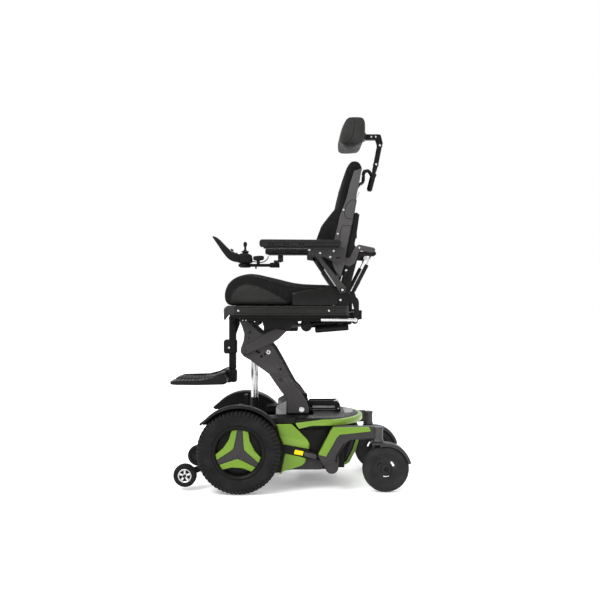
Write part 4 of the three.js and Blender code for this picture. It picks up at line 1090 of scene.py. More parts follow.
def seat_frame():
    """The side rails are grooved extrusions. The uprights behind them carry the back's pivot."""
    recline, tilt, leg = hub_of("back_recline"), hub_of("seat_tilt"), hub_of("legrest_elevate")
    (y0, y1), (z0, z1), (x0, x1) = RAIL_Y, RAIL_Z, RAIL_X
    rails, uprights, small = [], [], []
    for _, side in SIDES:
        section = [(y0, z0, 2), (y1 - 1, z0, 2), (y1 - 1, z0 + 5), (y1 - 3, z0 + 6.5),
            (y1 - 3, z0 + 8.5), (y1, z0 + 10, 2), (y1, z1 - 11, 2), (y1 - 3, z1 - 9.5),
            (y1 - 3, z1 - 7.5), (y1 - 1, z1 - 6), (y1 - 1, z1, 2), (y0, z1, 2)]
        rail = bar("rail", [(side * p[0], *p[1:]) for p in section], x0 + 8, x1, 0.8, radius=0.6)
        holes = [lathe("hole", rod_profile(3.4, y1 - 3, y1 + 2), (x, 0, 776), side=side, sides=16,
            radius=0) for x in (-137, 73, 151, 202)]
        rails.append(cut(rail, holes))
        upright = [(222, 780, 4), (211, 850, 12), (214, 882, 12), (240, 886, 12), (262, 854, 8),
            (285, 842, 14), (302, 827, 12), (306, 812, 8), (306, 735, 5), (286, 735, 5), (284, 786, 8),
            (277, 809, 6), (262, 811, 6), (257, 780, 3)]
        uprights.append(plate("upright", upright, side * 213.6, side * 225, 2.4, radius=6))
        uprights.append(block("tail_block", 301, 319, side * 196, side * 216, 738, 778, 2.5, 4))
        uprights.append(block("skirt", -238, 262, side * 198, side * 206, 743, 768, 1.2, 3))
        lug = [(288, 765, 4), (287, 812, 12), (268, 848, 10), (279, 865, 10), (293, 850, 12),
            (303, 812), (303, 765, 4)]
        small.append(plate("strut_lug", lug, side * 165, side * 173, 1.2, radius=6))
        strut = hub_of("recline_cylinder_swing_left")
        small.append(lathe("strut_pin", [(0.01, 165), (5, 165), (5, 192), (7, 192), (7, 193.2),
            (0.01, 193.2)], (strut.x, 0, strut.z), side=side, sides=28, radius=0.6))
        small.append(plate("tilt_lug", [(150, 790), (150, 736, 16), (190, 736, 16), (190, 790)],
            side * 155, side * 163, 1.4, radius=5))
        small.append(lathe("tilt_pin", [(0.01, 143), (6, 143), (6, 163), (11, 163), (11, 167),
            (0.01, 168)], (tilt.x, 0, tilt.z), side=side, sides=32, radius=0.6))
        small.append(lathe("pivot", rod_profile(8, 196, 247), (recline.x, 0, recline.z), side=side,
            sides=32))
    piece(joined("seat_rails", rails), "seat", "rail", ["seat_frame"])
    small += [block("cross", x - 10, x + 10, -212, 212, 762, 790, 2) for x in (-190, 0)]
    small.append(block("rear_cross", 286, 304, -218, 218, 752, 768, 2))
    pan = slab("pan", box_ring(-250, 214, -214, 214), 786, 795, 1.5, radius=10)
    small.append(pan)
    small += [plate("tilt_act_lug", [(268, 765), (284, 722, 8), (308, 722, 8), (308, 740, 8),
        (290, 765)], a, b, 1.2) for a, b in ((-126, -119), (-81, -74))]
    rear_pin = hub_of("tilt_actuator_swing")
    small.append(lathe("act_pin", rod_profile(5, -126, -74), (rear_pin.x, 0, rear_pin.z), sides=24))
    small += [plate("leg_lug", [(-268, 722, 8), (-246, 722, 8), (-236, 790), (-250, 790), (-268, 760)],
        a, b, 1.2) for a, b in ((-34, -27), (27, 34))]
    small.append(lathe("leg_pin", rod_profile(6, -34, 34), (leg.x, 0, leg.z), sides=28))
    piece(joined("seat_crossmembers", small), "seat", "black_metal")
    piece(joined("seat_uprights", uprights), "seat", "black_metal")
    caps = []
    for _, side in SIDES:
        nose = [(x0 - 4, 737, 2), (x0 + 1, 737, 3), (x0 + 16, 757, 8), (x0 + 40, 757, 2),
            (x0 + 42, 797.5, 3), (x0 + 12, 798, 12), (x0 - 4, 786, 14)]
        caps.append(plate("nose", nose, side * 206.6, side * 233.6, 3.0, radius=4))
        caps.append(block("tail", x1 - 9, x1 + 3, side * 206.8, side * 233.4, 755.6, 797.4, 2, 4))
    piece(joined("seat_rail_caps", caps), "seat", "grey_plastic")
    guides = []
    for _, side in SIDES:
        guides.append(lathe("guide", rod_profile(6.5, 142, 284), (0, side * 222, 736), axis="X",
            sides=32))
        guides.append(lathe("eye", [(0.01, 214), (9, 214), (9, 229), (0.01, 230)], (290, 0, 736),
            side=side, sides=32))
    piece(joined("seat_guide_rods", guides), "seat", "chrome")
    bolts("seat_rail_bolts", "seat", [(-213, 232, 776), (176, 232, 776)], radius=5, height=3)
    bolts("seat_upright_bolts", "seat", [(recline.x, 247, recline.z), (226, 225, 822), (254, 225, 790)],
        radius=5.5, height=3)


def inflate(obj, pressure, cap, voxel=8.0, frames=18, floor=None):
    """Swells a pad by cloth simulation with air inside. No point moves further than cap, or below floor."""
    obj.data.remesh_voxel_size = voxel * MM
    bpy.context.view_layer.objects.active = obj
    for other in bpy.context.selected_objects:
        other.select_set(False)
    obj.select_set(True)
    bpy.ops.object.voxel_remesh()
    start = [v.co.copy() for v in obj.data.vertices]
    cloth = obj.modifiers.new("cloth", "CLOTH")
    cloth.settings.use_pressure = True
    cloth.settings.uniform_pressure_force = pressure
    cloth.settings.effector_weights.gravity = 0
    cloth.settings.quality = 5
    cloth.settings.tension_stiffness = 12
    cloth.settings.compression_stiffness = 12
    cloth.settings.bending_stiffness = 0.6
    cloth.point_cache.frame_start = 1
    cloth.point_cache.frame_end = frames
    scene = bpy.context.scene
    for number in range(1, frames + 1):
        scene.frame_set(number)
    applied(obj)
    scene.frame_set(1)
    for vertex, origin in zip(obj.data.vertices, start):
        step = vertex.co - origin
        if step.length > cap * MM:
            vertex.co = origin + step.normalized() * cap * MM
        if floor is not None and vertex.co.z < floor * MM:
            vertex.co.z = floor * MM
    smooth = obj.modifiers.new("smooth", "CORRECTIVE_SMOOTH")
    smooth.use_only_smooth = True
    smooth.iterations = 6
    sub = obj.modifiers.new("sub", "SUBSURF")
    sub.levels = 1
    sub.render_levels = 1
    applied(obj)
    return obj


def onto(obj, points, lift=0.0):
    """Points in millimetres moved onto an object's surface, then out by lift."""
    result = []
    for point in points:
        hit, place, normal, _ = obj.closest_point_on_mesh(Vector(point) * MM)
        result.append((place + normal * lift * MM) / MM if hit else Vector(point))
    return result


def inside(point, ring):
    x, z = point
    odd = False
    for (x1, z1), (x2, z2) in zip(ring, ring[1:] + ring[:1]):
        if (z1 > z) != (z2 > z) and x < (x2 - x1) * (z - z1) / (z2 - z1) + x1:
            odd = not odd
    return odd


CUSHION_TOP = [(-283, 842), (-276, 873), (-263, 898), (-245, 917), (-222, 931), (-196, 939),
    (-163, 940), (-128, 935), (-96, 927), (-55, 917), (-12, 905), (20, 897), (60, 891), (120, 888),
    (200, 886)]
INSET = [(-252, 812), (-243, 850), (-222, 876), (-194, 891), (-165, 893), (-131, 884), (-84, 863),
    (-41, 838), (4, 810), (-20, 804), (-238, 803)]


def seat_cushion():
    outline = CUSHION_TOP + [(208, 876), (211, 803), (-262, 801), (-280, 812)]
    pad = plate("seat_pad", [(x + 2, z - 4) for x, z in outline], -216, 216, 24, radius=14)
    for vertex in pad.data.vertices:
        x, y, z = vertex.co / MM
        if z > 830:
            trough = 7 * math.cos(math.pi * y / 216) * min(1.0, (x + 283) / 120)
            vertex.co.z += (trough * (z - 830) / 95) * MM
    inflate(pad, 2.2, 9, floor=797.5)
    pad.data.materials.append(LOOK["fabric"])
    pad.data.materials.append(LOOK["fabric_grey"])
    for face in pad.data.polygons:
        center = face.center / MM
        if abs(face.normal.y) > 0.5 and inside((center.x, center.z), INSET):
            face.material_index = 1
    pad.name = "seat_pad"
    piece(pad, "seat", None, ["seat_cushion"], angle=0)
    pad.data.shade_smooth()
    cords = []
    for _, side in SIDES:
        line = spline_through([(x, side * 230, z) for x, z in INSET[:-2]], 6)
        cords.append(pipe("inset_cord", onto(pad, line, 0.6), 2.6, 10))
        edge = spline_through([(x + 6, side * 214, z - 4) for x,
            z in [(-274, 812)] + CUSHION_TOP + [(206, 812)]], 5)
        cords.append(pipe("edge_cord", onto(pad, edge, 0.3), 2.2, 10))
    across = [(-30, y, 905 + 4 * math.cos(math.pi * y / 420)) for y in range(-204, 205, 12)]
    cords.append(pipe("seam", onto(pad, across, 0.2), 1.3, 8))
    piece(joined("seat_pad_piping", cords), "seat", "piping")
    trays = []
    for _, side in SIDES:
        rings = []
        for i in range(25):
            share = i / 24
            x = 20 + 194 * share
            swell = math.sin(math.pi * min(1.0, 0.08 + share)) ** 0.6
            y_out = 221 + 8 * swell
            top = 850 + 32 * share ** 0.7
            low = 799.5
            rings.append([(x, side * 214, low), (x, side * (y_out - 2), low), (x, side * y_out,
                low + 6), (x, side * (y_out + 0.4), (low + top) / 2), (x, side * y_out, top - 5),
                (x, side * (y_out - 2), top), (x, side * 214, top)])
        trays.append(loft("tray", rings))
    piece(joined("seat_pad_tray", trays), "seat", "gloss_black", angle=50)


def tilt_actuator():
    rear, front = hub_of("tilt_actuator_swing"), Vector((0, -100, 706))
    along = (front - rear).normalized()
    turn = Vector((0, 0, 1)).rotation_difference(along).to_matrix().to_4x4()

    def tube(profile):
        part = lathe("tube", profile, (0, 0, 0), axis="Z", sides=44)
        part.data.transform(Matrix.Translation(rear * MM) @ turn)
        return part

    body = [tube([(8.6, 30), (8.6, 198), (13, 198), (16.5, 194), (16.5, 176), (15, 172), (15, 40),
        (16, 36), (16, 20), (12, 14), (0.01, 14), (0.01, 30)]), lathe("eye", box_ring(5.8, 15, -109,
        -91), (rear.x, 0, rear.z), sides=32)]
    motor = lathe("motor", [(0.01, 26), (12, 26), (14.5, 29), (14.5, 168), (12, 174), (0.01, 176)],
        (0, 0, 0), axis="Z", sides=44)
    motor.data.transform(Matrix.Translation((rear + Vector((-3, -18, -26))) * MM) @ turn)
    saddle = block("saddle", rear.x - 78, rear.x - 54, -124, -92, 690, 724, 2)
    body += [motor, saddle]
    piece(joined("tilt_actuator_tube", body), "tilt_actuator_body", "black_metal", ["tilt_actuator_body"])
    rod = [tube(rod_profile(8, 140, 290)), lathe("eye", rod_profile(11, -109, -91),
        (front.x, 0, front.z), sides=32)]
    piece(joined("tilt_actuator_piston", rod), "tilt_actuator_rod", "dark_steel", ["tilt_actuator_rod"])


# ---- back ----
SHELL_FRONT = [(286, 1381, 4), (267, 1321), (254, 1265), (237, 1218), (224, 1187), (215, 1144),
    (198, 1076), (190, 985, 16), (202, 951, 14), (224, 921, 4)]
SHELL_REAR = [(228, 921, 4), (246, 985), (254, 1046), (267, 1106), (280, 1166), (288, 1205),
    (297, 1248), (295, 1265), (301, 1295), (310, 1338), (319, 1390, 4)]


def back_shell():
    band = SHELL_FRONT + SHELL_REAR
    cheeks = [plate("cheek", band, side * 205, side * 213, 3.2, radius=14) for _, side in SIDES]
    rear_line = [(p[0], p[1]) for p in SHELL_REAR]
    wall = [(x - 8, z) for x, z in rear_line][::-1] + rear_line
    cheeks.append(plate("wall", wall, -208, 208, 1.6, radius=6))
    shell = joined("back_shell_skin", cheeks)
    piece(shell, "back", "shell_grey", ["back_shell"], angle=45)
    upper = rounded([(296, 1254), (273, 1254), (253, 1234), (243, 1196), (250, 1176), (282, 1170)], 9, 4)
    lower = rounded([(276, 1143), (233, 1143), (226, 1114), (214, 1040), (236, 1010), (250, 1010)], 9, 4)
    # Black tubes on the panel lines of the shell's sides and across its back: painted shade of the grooves, not
    # cut into the shell.
    lines = []
    for _, side in SIDES:
        for ring in (upper, lower):
            lines.append(pipe("line", [(p[0], side * 213, p[1]) for p in ring], 1.1, 6, closed=True))
    for z in (980, 1130, 1290):
        x = 245 + (z - 980) * 0.19
        lines.append(pipe("line", [(x + 6, y, z) for y in (-196, -60, 60, 196)], 1.0, 6))
    piece(joined("back_shell_painted_groove_shade", lines), "back", "piping")
    bolts("back_shell_bolts", "back", [(240, 213, 1211), (215, 213, 1108), (252, 213, 951)], radius=4.6,
        height=2.4)


def back_cushion():
    """A crowned centre pad that wraps over the top of the shell, with a deep lateral wing on each side."""
    rear = [(p[0] - 10, p[1] - 6) for p in SHELL_REAR[1:-1]]
    cap = [(309, 1388, 6), (322, 1398, 8), (326, 1410, 8), (317, 1428, 10), (297, 1435, 14),
        (279, 1430, 12), (264, 1402, 14), (256, 1376, 20)]
    front = [(247, 1346), (233, 1300), (222, 1250), (205, 1196), (192, 1130), (180, 1050),
        (172, 964, 20), (182, 938, 14)]
    core = plate("back_pad", [(216, 936, 10)] + rear + cap + front, -196, 196, 13, radius=10)
    for vertex in core.data.vertices:
        x, y, z = vertex.co / MM
        if z < 1300 and x < 240:
            vertex.co.x += 10 * math.cos(math.pi * y / 400) * MM
    inflate(core, 2.0, 8)
    core.name = "back_pad"
    piece(core, "back", "fabric", ["back_cushion"], angle=0)
    core.data.shade_smooth()
    cords = []
    edge = [(216, 940, 8), (240, 1060), (262, 1150), (250, 1228, 10), (222, 1241, 8), (186, 1200, 24),
        (142, 1142, 26), (121, 1084, 26), (119, 1036, 20), (132, 998, 20), (158, 960, 20),
        (180, 938, 10)]
    for word, side in SIDES:
        wing = plate(f"back_wing_{word}", edge, side * 160, side * 200, 13, radius=18)
        for vertex in wing.data.vertices:
            forward = max(0.0, (210 - vertex.co.x / MM) / 95)
            vertex.co.y += side * 7 * forward * MM
        inflate(wing, 2.4, 6, 6.0)
        wing.name = f"back_wing_{word}"
        piece(wing, "back", "fabric", angle=0)
        wing.data.shade_smooth()
        line = spline_through([(222, side * 206, 1240), (186, side * 208, 1198), (142, side * 211,
            1142), (121, side * 212, 1084), (117, side * 212, 1004), (124, side * 211, 958)], 8)
        cords.append(pipe("wing_cord", onto(wing, line, 0.6), 2.0, 10))
    for _, side in SIDES:
        line = spline_through([(x, side * 190, z) for x, z in ((270, 1412), (247, 1350), (234, 1302),
            (223, 1252), (206, 1198), (194, 1132), (182, 1052), (176, 968))], 6)
        cords.append(pipe("pad_cord", onto(core, line, 0.4), 2.0, 10))
    for z in (1060, 1200, 1330):
        across = [(190 + (z - 1060) * 0.2, y, z) for y in range(-186, 187, 12)]
        cords.append(pipe("channel", onto(core, across, 0.1), 1.4, 8))
    piece(joined("back_pad_piping", cords), "back", "piping")


def back_frame():
    recline = hub_of("back_recline")
    posts, upper = [], []
    for _, side in SIDES:
        post = [(224, 884), (232, 912), (252, 985), (259, 1044), (272, 1104), (287, 1184),
            (288, 1200, 4), (310, 1194, 4), (300, 1124), (288, 1062, 12), (302, 1040, 10),
            (316, 1032, 10), (362, 1034, 8), (380, 1031, 8), (383, 1020, 8), (372, 1011, 8),
            (322, 1014, 12), (300, 996, 16), (272, 890), (256, 850, 10)]
        hole = rounded([(246, 905), (252, 903), (262, 940), (256, 942)], 2.5)
        posts.append(plate("post", post, side * 194, side * 204, 2.2, holes=[hole], radius=8))
        posts.append(lathe("boss", box_ring(8.7, 24, 193.6, 204.4), (recline.x, 0, recline.z),
            side=side, sides=44))
        arch = [(378, 1040, 6), (372, 1048, 6), (306, 1062, 12), (288, 1048, 12), (266, 1004, 10),
            (228, 1008, 8), (220, 996, 8), (224, 980, 8), (264, 966, 10), (288, 980, 12),
            (310, 1036, 12), (360, 1026, 8), (376, 1030, 6)]
        upper.append(plate("arch", arch, side * 203, side * 211, 2.4, radius=8))
    crossbar = block("b", 291, 299, -197, 197, 1090, 1130, 2)
    spine = plate("spine", [(268, 1092, 4), (276, 1190), (284, 1248), (302, 1310), (322, 1356),
        (335, 1362, 3), (340, 1416, 4), (347, 1416, 4), (346, 1358, 5), (330, 1350, 6), (312, 1324),
        (294, 1250), (284, 1180), (276, 1092, 4)], -32, 32, 2.0, radius=10)
    plate_rear = plate("accessory", [(300, 1216, 3), (312, 1210, 3), (300, 1092, 3), (291, 1094, 3)],
        -92, 92, 1.5)
    bend = spline_through([(341, 0, 1396), (350, 0, 1411), (364, 0, 1415), (376, 0, 1402), (385, 0, 1382)], 8)
    socket_arm = pipe("arm", bend, 8, 16)
    foot = bar("foot", [(-24, 1366, 8), (24, 1366, 8), (24, 1412, 8), (-24, 1412, 8)], 338, 349, 2)
    socket = headrest_tube([(9.7, 6), (13, 6), (13, 70), (15, 72), (15, 84), (12, 86), (9.7, 86)])
    frame_parts = posts + [crossbar, spine, plate_rear, socket_arm, foot, socket]
    piece(joined("back_frame_posts", frame_parts), "back", "black_metal", ["back_frame"])
    piece(joined("back_frame_brackets", upper), "back", "mid_grey")
    bolts("back_post_bolts", "back", [(308, 211, 1048), (250, 204, 950)], radius=4.8, height=2.8)
    gas = hub_of("recline_cylinder_swing_left")
    top = Vector((368, 0, 1023))
    for word, side in SIDES:
        low = Vector((gas.x, side * 184, gas.z))
        along = (Vector((top.x, side * 184, top.z)) - low).normalized()
        turn = Vector((0, 0, 1)).rotation_difference(along).to_matrix().to_4x4()
        place = Matrix.Translation(low * MM) @ turn
        barrel = lathe("barrel", [(5.2, 18), (5.2, 140), (7, 141), (8.8, 139), (8.8, 60), (9.6, 58),
            (9.6, 50), (8.8, 48), (8.8, 14), (6, 10), (0.01, 10), (0.01, 18)], (0, 0, 0), axis="Z",
            sides=36)
        barrel.data.transform(place)
        eye = lathe("eye", box_ring(5.8, 12, 178, 190), (gas.x, 0, gas.z), side=side, sides=28)
        piece(joined(f"recline_barrel_{word}", [barrel, eye]), f"recline_cylinder_{word}",
            "black_metal", [f"recline_cylinder_{word}"])
        rod = lathe("rod", [(0.01, 60), (4.6, 60), (4.6, 168), (7.5, 170), (7.5, 188), (0.01, 190)],
            (0, 0, 0), axis="Z", sides=32)
        rod.data.transform(place)
        tip = lathe("tip", rod_profile(11, 179, 189), (top.x, 0, top.z), side=side, sides=28)
        piece(joined(f"recline_piston_{word}", [rod, tip]), f"recline_rod_{word}", "steel",
            [f"recline_rod_{word}"])


# ---- headrest ----
HEAD_BAR_LOW = Vector((369, 0, 1321))


def headrest_tube(profile):
    """A round profile of (radius, distance) turned about the headrest bar's axis."""
    along = (hub_of("headrest_link_swing") - HEAD_BAR_LOW).normalized()
    turn = Vector((0, 0, 1)).rotation_difference(along).to_matrix().to_4x4()
    part = lathe("head_tube", profile, (0, 0, 0), axis="Z", sides=40)
    part.data.transform(Matrix.Translation(HEAD_BAR_LOW * MM) @ turn)
    return part


def headrest():
    lower, upper = hub_of("headrest_link_swing"), hub_of("headrest_tilt")
    bar_parts = [headrest_tube([(0.01, 0), (8, 0), (9.3, 2), (9.3, 96), (11, 98), (11, 118),
        (0.01, 120)]), lathe("eye", rod_profile(13, -8, 8), (lower.x, 0, lower.z), sides=36)]
    piece(joined("headrest_stem", bar_parts), "headrest_bar", "black_metal", ["headrest_bar"])
    lean = (upper - lower).normalized()
    across = Vector((-lean.z, 0, lean.x))
    strip = []
    for center, direction in ((lower, -1), (upper, 1)):
        for k in range(13):
            angle = math.pi * (k / 12 - 0.5)
            spot = center + lean * (direction * 11 * math.cos(angle)) + across * (direction * -11
                * math.sin(angle))
            strip.append((spot.x, spot.z))
    links = [plate("link", strip, side * 9.5, side * 15, 1.4, radius=0) for _, side in SIDES]
    links.append(lathe("web", rod_profile(6, -12, 12), (409, 0, 1488), sides=28))
    piece(joined("headrest_arm", links), "headrest_link", "black_metal", ["headrest_link"])
    pins = []
    for center in (lower, upper):
        pins += [bolt_head((center.x, 15, center.z), side, 5.5, 3) for _, side in SIDES]
    piece(joined("headrest_bolts", pins), "headrest_link", "steel", angle=30)
    neck = plate("neck", [(406, 1528, 4), (396, 1560, 8), (402, 1583, 8), (422, 1582, 10),
        (432, 1542, 10), (428, 1524, 6)], -8, 8, 2, radius=6)
    yoke = bar("yoke", [(-14, 1556, 4), (14, 1556, 4), (14, 1582, 6), (-14, 1582, 6)], 350, 412, 3)
    eye = lathe("eye", rod_profile(13, -8, 8), (upper.x, 0, upper.z), sides=36)
    mount = bar("mount", [(-40, 1554, 10), (40, 1554, 10), (40, 1586, 10), (-40, 1586, 10)], 340, 351, 3)
    ball = lathe("ball", [(0.01, 348), (12, 348), (13, 352), (13, 366), (11, 372), (0.01, 372)],
        (0, 0, 1569), axis="X", sides=40)
    piece(joined("headrest_mount", [neck, yoke, eye, mount, ball]), "headrest", "black_metal",
        ["headrest_bracket"])
    knobs = [bolt_head((x, 14, 1569), side, 4.4, 2.6) for x in (378, 398) for _, side in SIDES]
    piece(joined("headrest_mount_bolts", knobs), "headrest", "steel", angle=30)
    outline = [(226, 1523, 12), (232, 1550, 30), (244, 1594, 40), (256, 1628, 14), (270, 1638, 12),
        (333, 1637, 14), (342, 1620, 12), (339, 1560, 30), (334, 1530, 14), (322, 1517, 14),
        (244, 1514, 12)]
    pad = plate("headrest_shape", outline, -122, 122, 15, radius=12)
    for vertex in pad.data.vertices:
        x, y, z = vertex.co / MM
        hollow = max(0.0, 1 - (x - 228) / 60)
        vertex.co.x += 16 * hollow * math.cos(math.pi * y / 280) ** 2 * MM
    inflate(pad, 1.6, 6, 6.0)
    pad.name = "headrest_cushion"
    piece(pad, "headrest", "headrest", ["headrest_pad"], angle=0)
    pad.data.shade_smooth()
    cords = []
    for _, side in SIDES:
        low = spline_through([(256, side * 124, 1518), (276, side * 127, 1534), (288, side * 127, 1560),
            (292, side * 127, 1596), (296, side * 124, 1626)], 6)
        cords.append(pipe("cord", onto(pad, low, 0.1), 1.2, 8))
    front = [(252, y, 1516) for y in range(-108, 109, 12)]
    cords.append(pipe("cord", onto(pad, front, 0.2), 1.2, 8))
    piece(joined("headrest_seams", cords), "headrest", "piping")


# ---- armrests ----
PAD_Y = (236, 300)
PAD_Z = (1047.6, 1077.8)
PAD_X = (-119, 225)


def armrest(word, side):
    recline = hub_of("back_recline")
    body = f"armrest_{word}"
    y_in, y_out = 233, 241
    strut = [(246, 852, 12), (226, 850, 12), (208, 878, 12), (191, 903, 20), (124, 1003, 20),
        (110, 1022, 8), (116, 1036, 6), (134, 1032, 6), (150, 994, 20), (206, 926, 30), (250, 876, 12)]
    bracket = [(86, 1018, 6), (86, 1046, 3), (244, 1046, 3), (248, 992, 8), (236, 980, 8),
        (198, 984, 10), (160, 1004, 12), (128, 1012, 10)]
    hole = circle((recline.x, recline.z), 8.7, 24)
    slots = [rounded(box_ring(206, 226, 1000, 1006), 3)]
    parts = [plate("strut", strut, side * y_in, side * y_out, 2.4, holes=[hole], radius=10),
        plate("bracket", bracket, side * y_in, side * (y_out + 0.4), 2.0, holes=slots, radius=6)]
    parts.append(block("support", -104, 205, side * y_in, side * 262, 1041.5, 1047, 1.2, 3))
    if side > 0:
        swing = hub_of("joystick_swing")
        parts.append(block("drop", swing.x + 9, swing.x + 35, 255, 281, 1010, 1042, 3, 4))
        parts.append(block("shoulder", swing.x - 12, swing.x + 26, 255, 281, 1008, 1018, 2.5, 4))
        parts.append(lathe("shaft", rod_profile(7, 984, 1012), (swing.x, 268, 0), axis="Z", sides=28))
    piece(joined(f"armrest_bracket_{word}", parts), body, "dark_grey", [f"armrest_frame_{word}"])
    # A silver line along the strut's lower edge: a painted highlight where light catches that edge.
    edge = spline_through([(156, side * 238.5, 954), (172, side * 238.5, 930), (190, side * 238.5, 903),
        (204, side * 238.5, 882)], 8)
    piece(pipe(f"armrest_painted_highlight_{word}", edge, 3, 12), body, "painted_highlight_grey")
    bolts(f"armrest_bolts_{word}", body, [(92, 241, 1037, side), (138, 241, 1024, side),
        (196, 241, 1033, side), (181, 241, 1007, side)], radius=5.4, height=3)
    (y0, y1), (z0, z1), (x0, x1) = PAD_Y, PAD_Z, PAD_X
    outline = [(x0, z0, 8), (x0, z1, 13), (x1, z1 - 2, 13), (x1, z0, 8)]
    pad = plate(f"armrest_cushion_{word}", outline, side * y0, side * y1, 6)
    notches = []
    for x in (-70, -6, 58):
        for shift in (-7, 7):
            for y in (y1, y0):
                notches.append(block("notch", x + shift - 4.5, x + shift + 4.5, side * (y - 3.9),
                    side * (y + 4.2), z0 + 5.2, z0 + 11.3, 0.3, 2))
    cut(pad, notches)
    piece(pad, body, "pad", [f"armrest_pad_{word}"])
    line = [(x, side * y, z0 + 15) for x, y in [(x0 + 6, y1), (x1 - 4, y1), (x1, y1 - 8), (x1, y0 + 8),
        (x1 - 4, y0), (x0 + 6, y0)]]
    dense = []
    for a, b in zip(line, line[1:] + line[:1]):
        dense += [Vector(a).lerp(Vector(b), k / 12) for k in range(12)]
    seam = pipe(f"armrest_seam_{word}", onto(pad, dense, 0.1), 1.0, 8, closed=True)
    piece(seam, body, "piping")


# ---- leg rest ----
def leg_rest():
    leg, foot = hub_of("legrest_elevate"), hub_of("footplate_fold_left")
    sleeve = bar("sleeve", box_ring(-16, 16, 0, 32), 506, 742, 3, radius=3)
    upright = Matrix(((0, 0, -1, 0), (0, 1, 0, 0), (1, 0, 0, 0), (0, 0, 0, 1)))
    sleeve.data.transform(upright)
    sleeve.data.transform(Matrix.Translation((-0.241, 0, 0)))
    clamp = plate("clamp", [(-297, 584, 9), (-297, 634, 9), (-289, 641, 6), (-240, 640, 4),
        (-237, 632, 4), (-237, 582, 4), (-244, 576, 4), (-289, 577, 6)], -22.5, 22.5, 4.5, radius=5)
    head = lathe("head", box_ring(6.8, 17, -16.5, 16.5), (leg.x, 0, leg.z), sides=40)
    ears = [lathe("ear", box_ring(6.8, 11, 14, 25), (leg.x, 0, leg.z), side=side, sides=32) for _,
        side in SIDES]
    gusset = plate("gusset", [(-244, 742, 4), (-226, 742, 8), (-224, 712, 10), (-240, 668, 6),
        (-246, 668, 3)], -5, 5, 1.4, radius=8)
    piece(joined("legrest_sleeve", [sleeve, clamp, head, *ears, gusset]), "legrest_mast", "black_metal",
        ["legrest_mast"])
    bolts("legrest_clamp_bolts", "legrest_mast", [(-272, 22.5, 604)], radius=5.4, height=2.8)
    tube = bar("tube", box_ring(-12, 12, 0, 24), 470, 690, 2, radius=2.5)
    tube.data.transform(upright)
    tube.data.transform(Matrix.Translation((-0.245, 0, 0)))
    hinge_block = plate("hinge", [(-293, 454, 6), (-295, 494, 10), (-286, 504, 8), (-242, 504, 6),
        (-237, 494, 6), (-237, 452, 5), (-246, 446, 4), (-286, 447, 6)], -20.5, 20.5, 3.2, radius=6)
    axle = lathe("axle", rod_profile(6, -42, 42), (foot.x, 0, foot.z), sides=32)
    piece(joined("legrest_foot_block", [tube, hinge_block, axle]), "legrest_slider", "black_metal",
        ["legrest_slider"])
    marks = [block("mark", -246, -244.3, -5, 5, z - 1.2, z + 1.2, 0.3, 0.5) for z in range(652, 690, 12)]
    piece(joined("legrest_scale", marks), "legrest_slider", "steel")


def footplate(word, side):
    foot = hub_of(f"footplate_fold_{word}")
    body = f"footplate_{word}"
    sole = [(-525, 461, 4), (-521, 452, 5), (-508, 449.5, 5), (-400, 448.5), (-290, 451, 8),
        (-269, 456, 8), (-269, 474, 6), (-284, 500, 6), (-296, 501, 5), (-312, 486, 24),
        (-350, 469, 40), (-420, 460.5), (-510, 464, 6)]
    shell = plate("sole", sole, side * 27, side * 168, 4, radius=8)
    corner = slab("corner", [(x, side * y, *r) for x, y, *r in [(-560, 118), (-526, 118, 20),
        (-515, 150, 26), (-480, 168, 26), (-400, 200), (-560, 200)]], 400, 540, 0.5, radius=6)
    cut(shell, [corner])
    treads = []
    for i in range(11):
        x = -498 + 15 * i
        z = 461.6 + max(0, x + 420) * 0.08 - 0.03 * min(0, x + 430)
        treads.append(block("tread", x - 2.6, x + 2.6, side * 42, side * 150, z - 3, z + 2.2, 1.2, 1.5))
    lug = plate("lug", [(-284, 478, 4), (-284, 496, 12), (-268, 505, 12), (-250, 496, 12),
        (-250, 480, 12), (-264, 446, 4), (-300, 446, 4)], side * 21, side * 36, 2.4, radius=8)
    hole = lathe("hole", rod_profile(6.7, 18, 40), (foot.x, 0, foot.z), side=side, sides=32, radius=0)
    cut(lug, [hole])
    piece(joined(f"footplate_shell_{word}", [shell, lug]), body, "black_plastic", [f"footplate_{word}"])
    piece(joined(f"footplate_treads_{word}", treads), body, "tyre")
    side_wall = [(-512, 463, 3), (-516, 452, 4), (-280, 452, 4), (-272, 462, 4), (-286, 503, 5),
        (-300, 499, 8), (-334, 482, 20), (-380, 470, 20), (-500, 467, 4)]
    rim = plate(f"footplate_rim_{word}", side_wall, side * 164, side * 169.5, 1.8, radius=4)
    piece(rim, body, "black_plastic")


# ---- joystick ----
CABLE_ROUTE = [(-0.1845, 0.248, 1.012), (-0.170, 0.248, 1.010), (-0.154, 0.248, 1.007), (-0.138, 0.248,
    1.007), (-0.124, 0.248, 1.011), (-0.113, 0.2485, 1.019), (-0.106, 0.249, 1.028), (-0.104, 0.249,
    1.0376)]
CABLE_DIAMETER = 0.005


def joystick_cable():
    """The control lead: out of the box, down under the palm block and up into the armrest."""
    line = [p / MM for p in spline_through(CABLE_ROUTE, 6)]
    cable = pipe("joystick_lead", line, CABLE_DIAMETER / 2 / MM, 16)
    piece(cable, "joystick_arm", "cable", ["joystick_cable"])


def smooth_edge(points):
    """A smooth side-view line through a few points."""
    return [(p.x, p.z) for p in spline_through([(x, 0, z) for x, z in points], 6)]


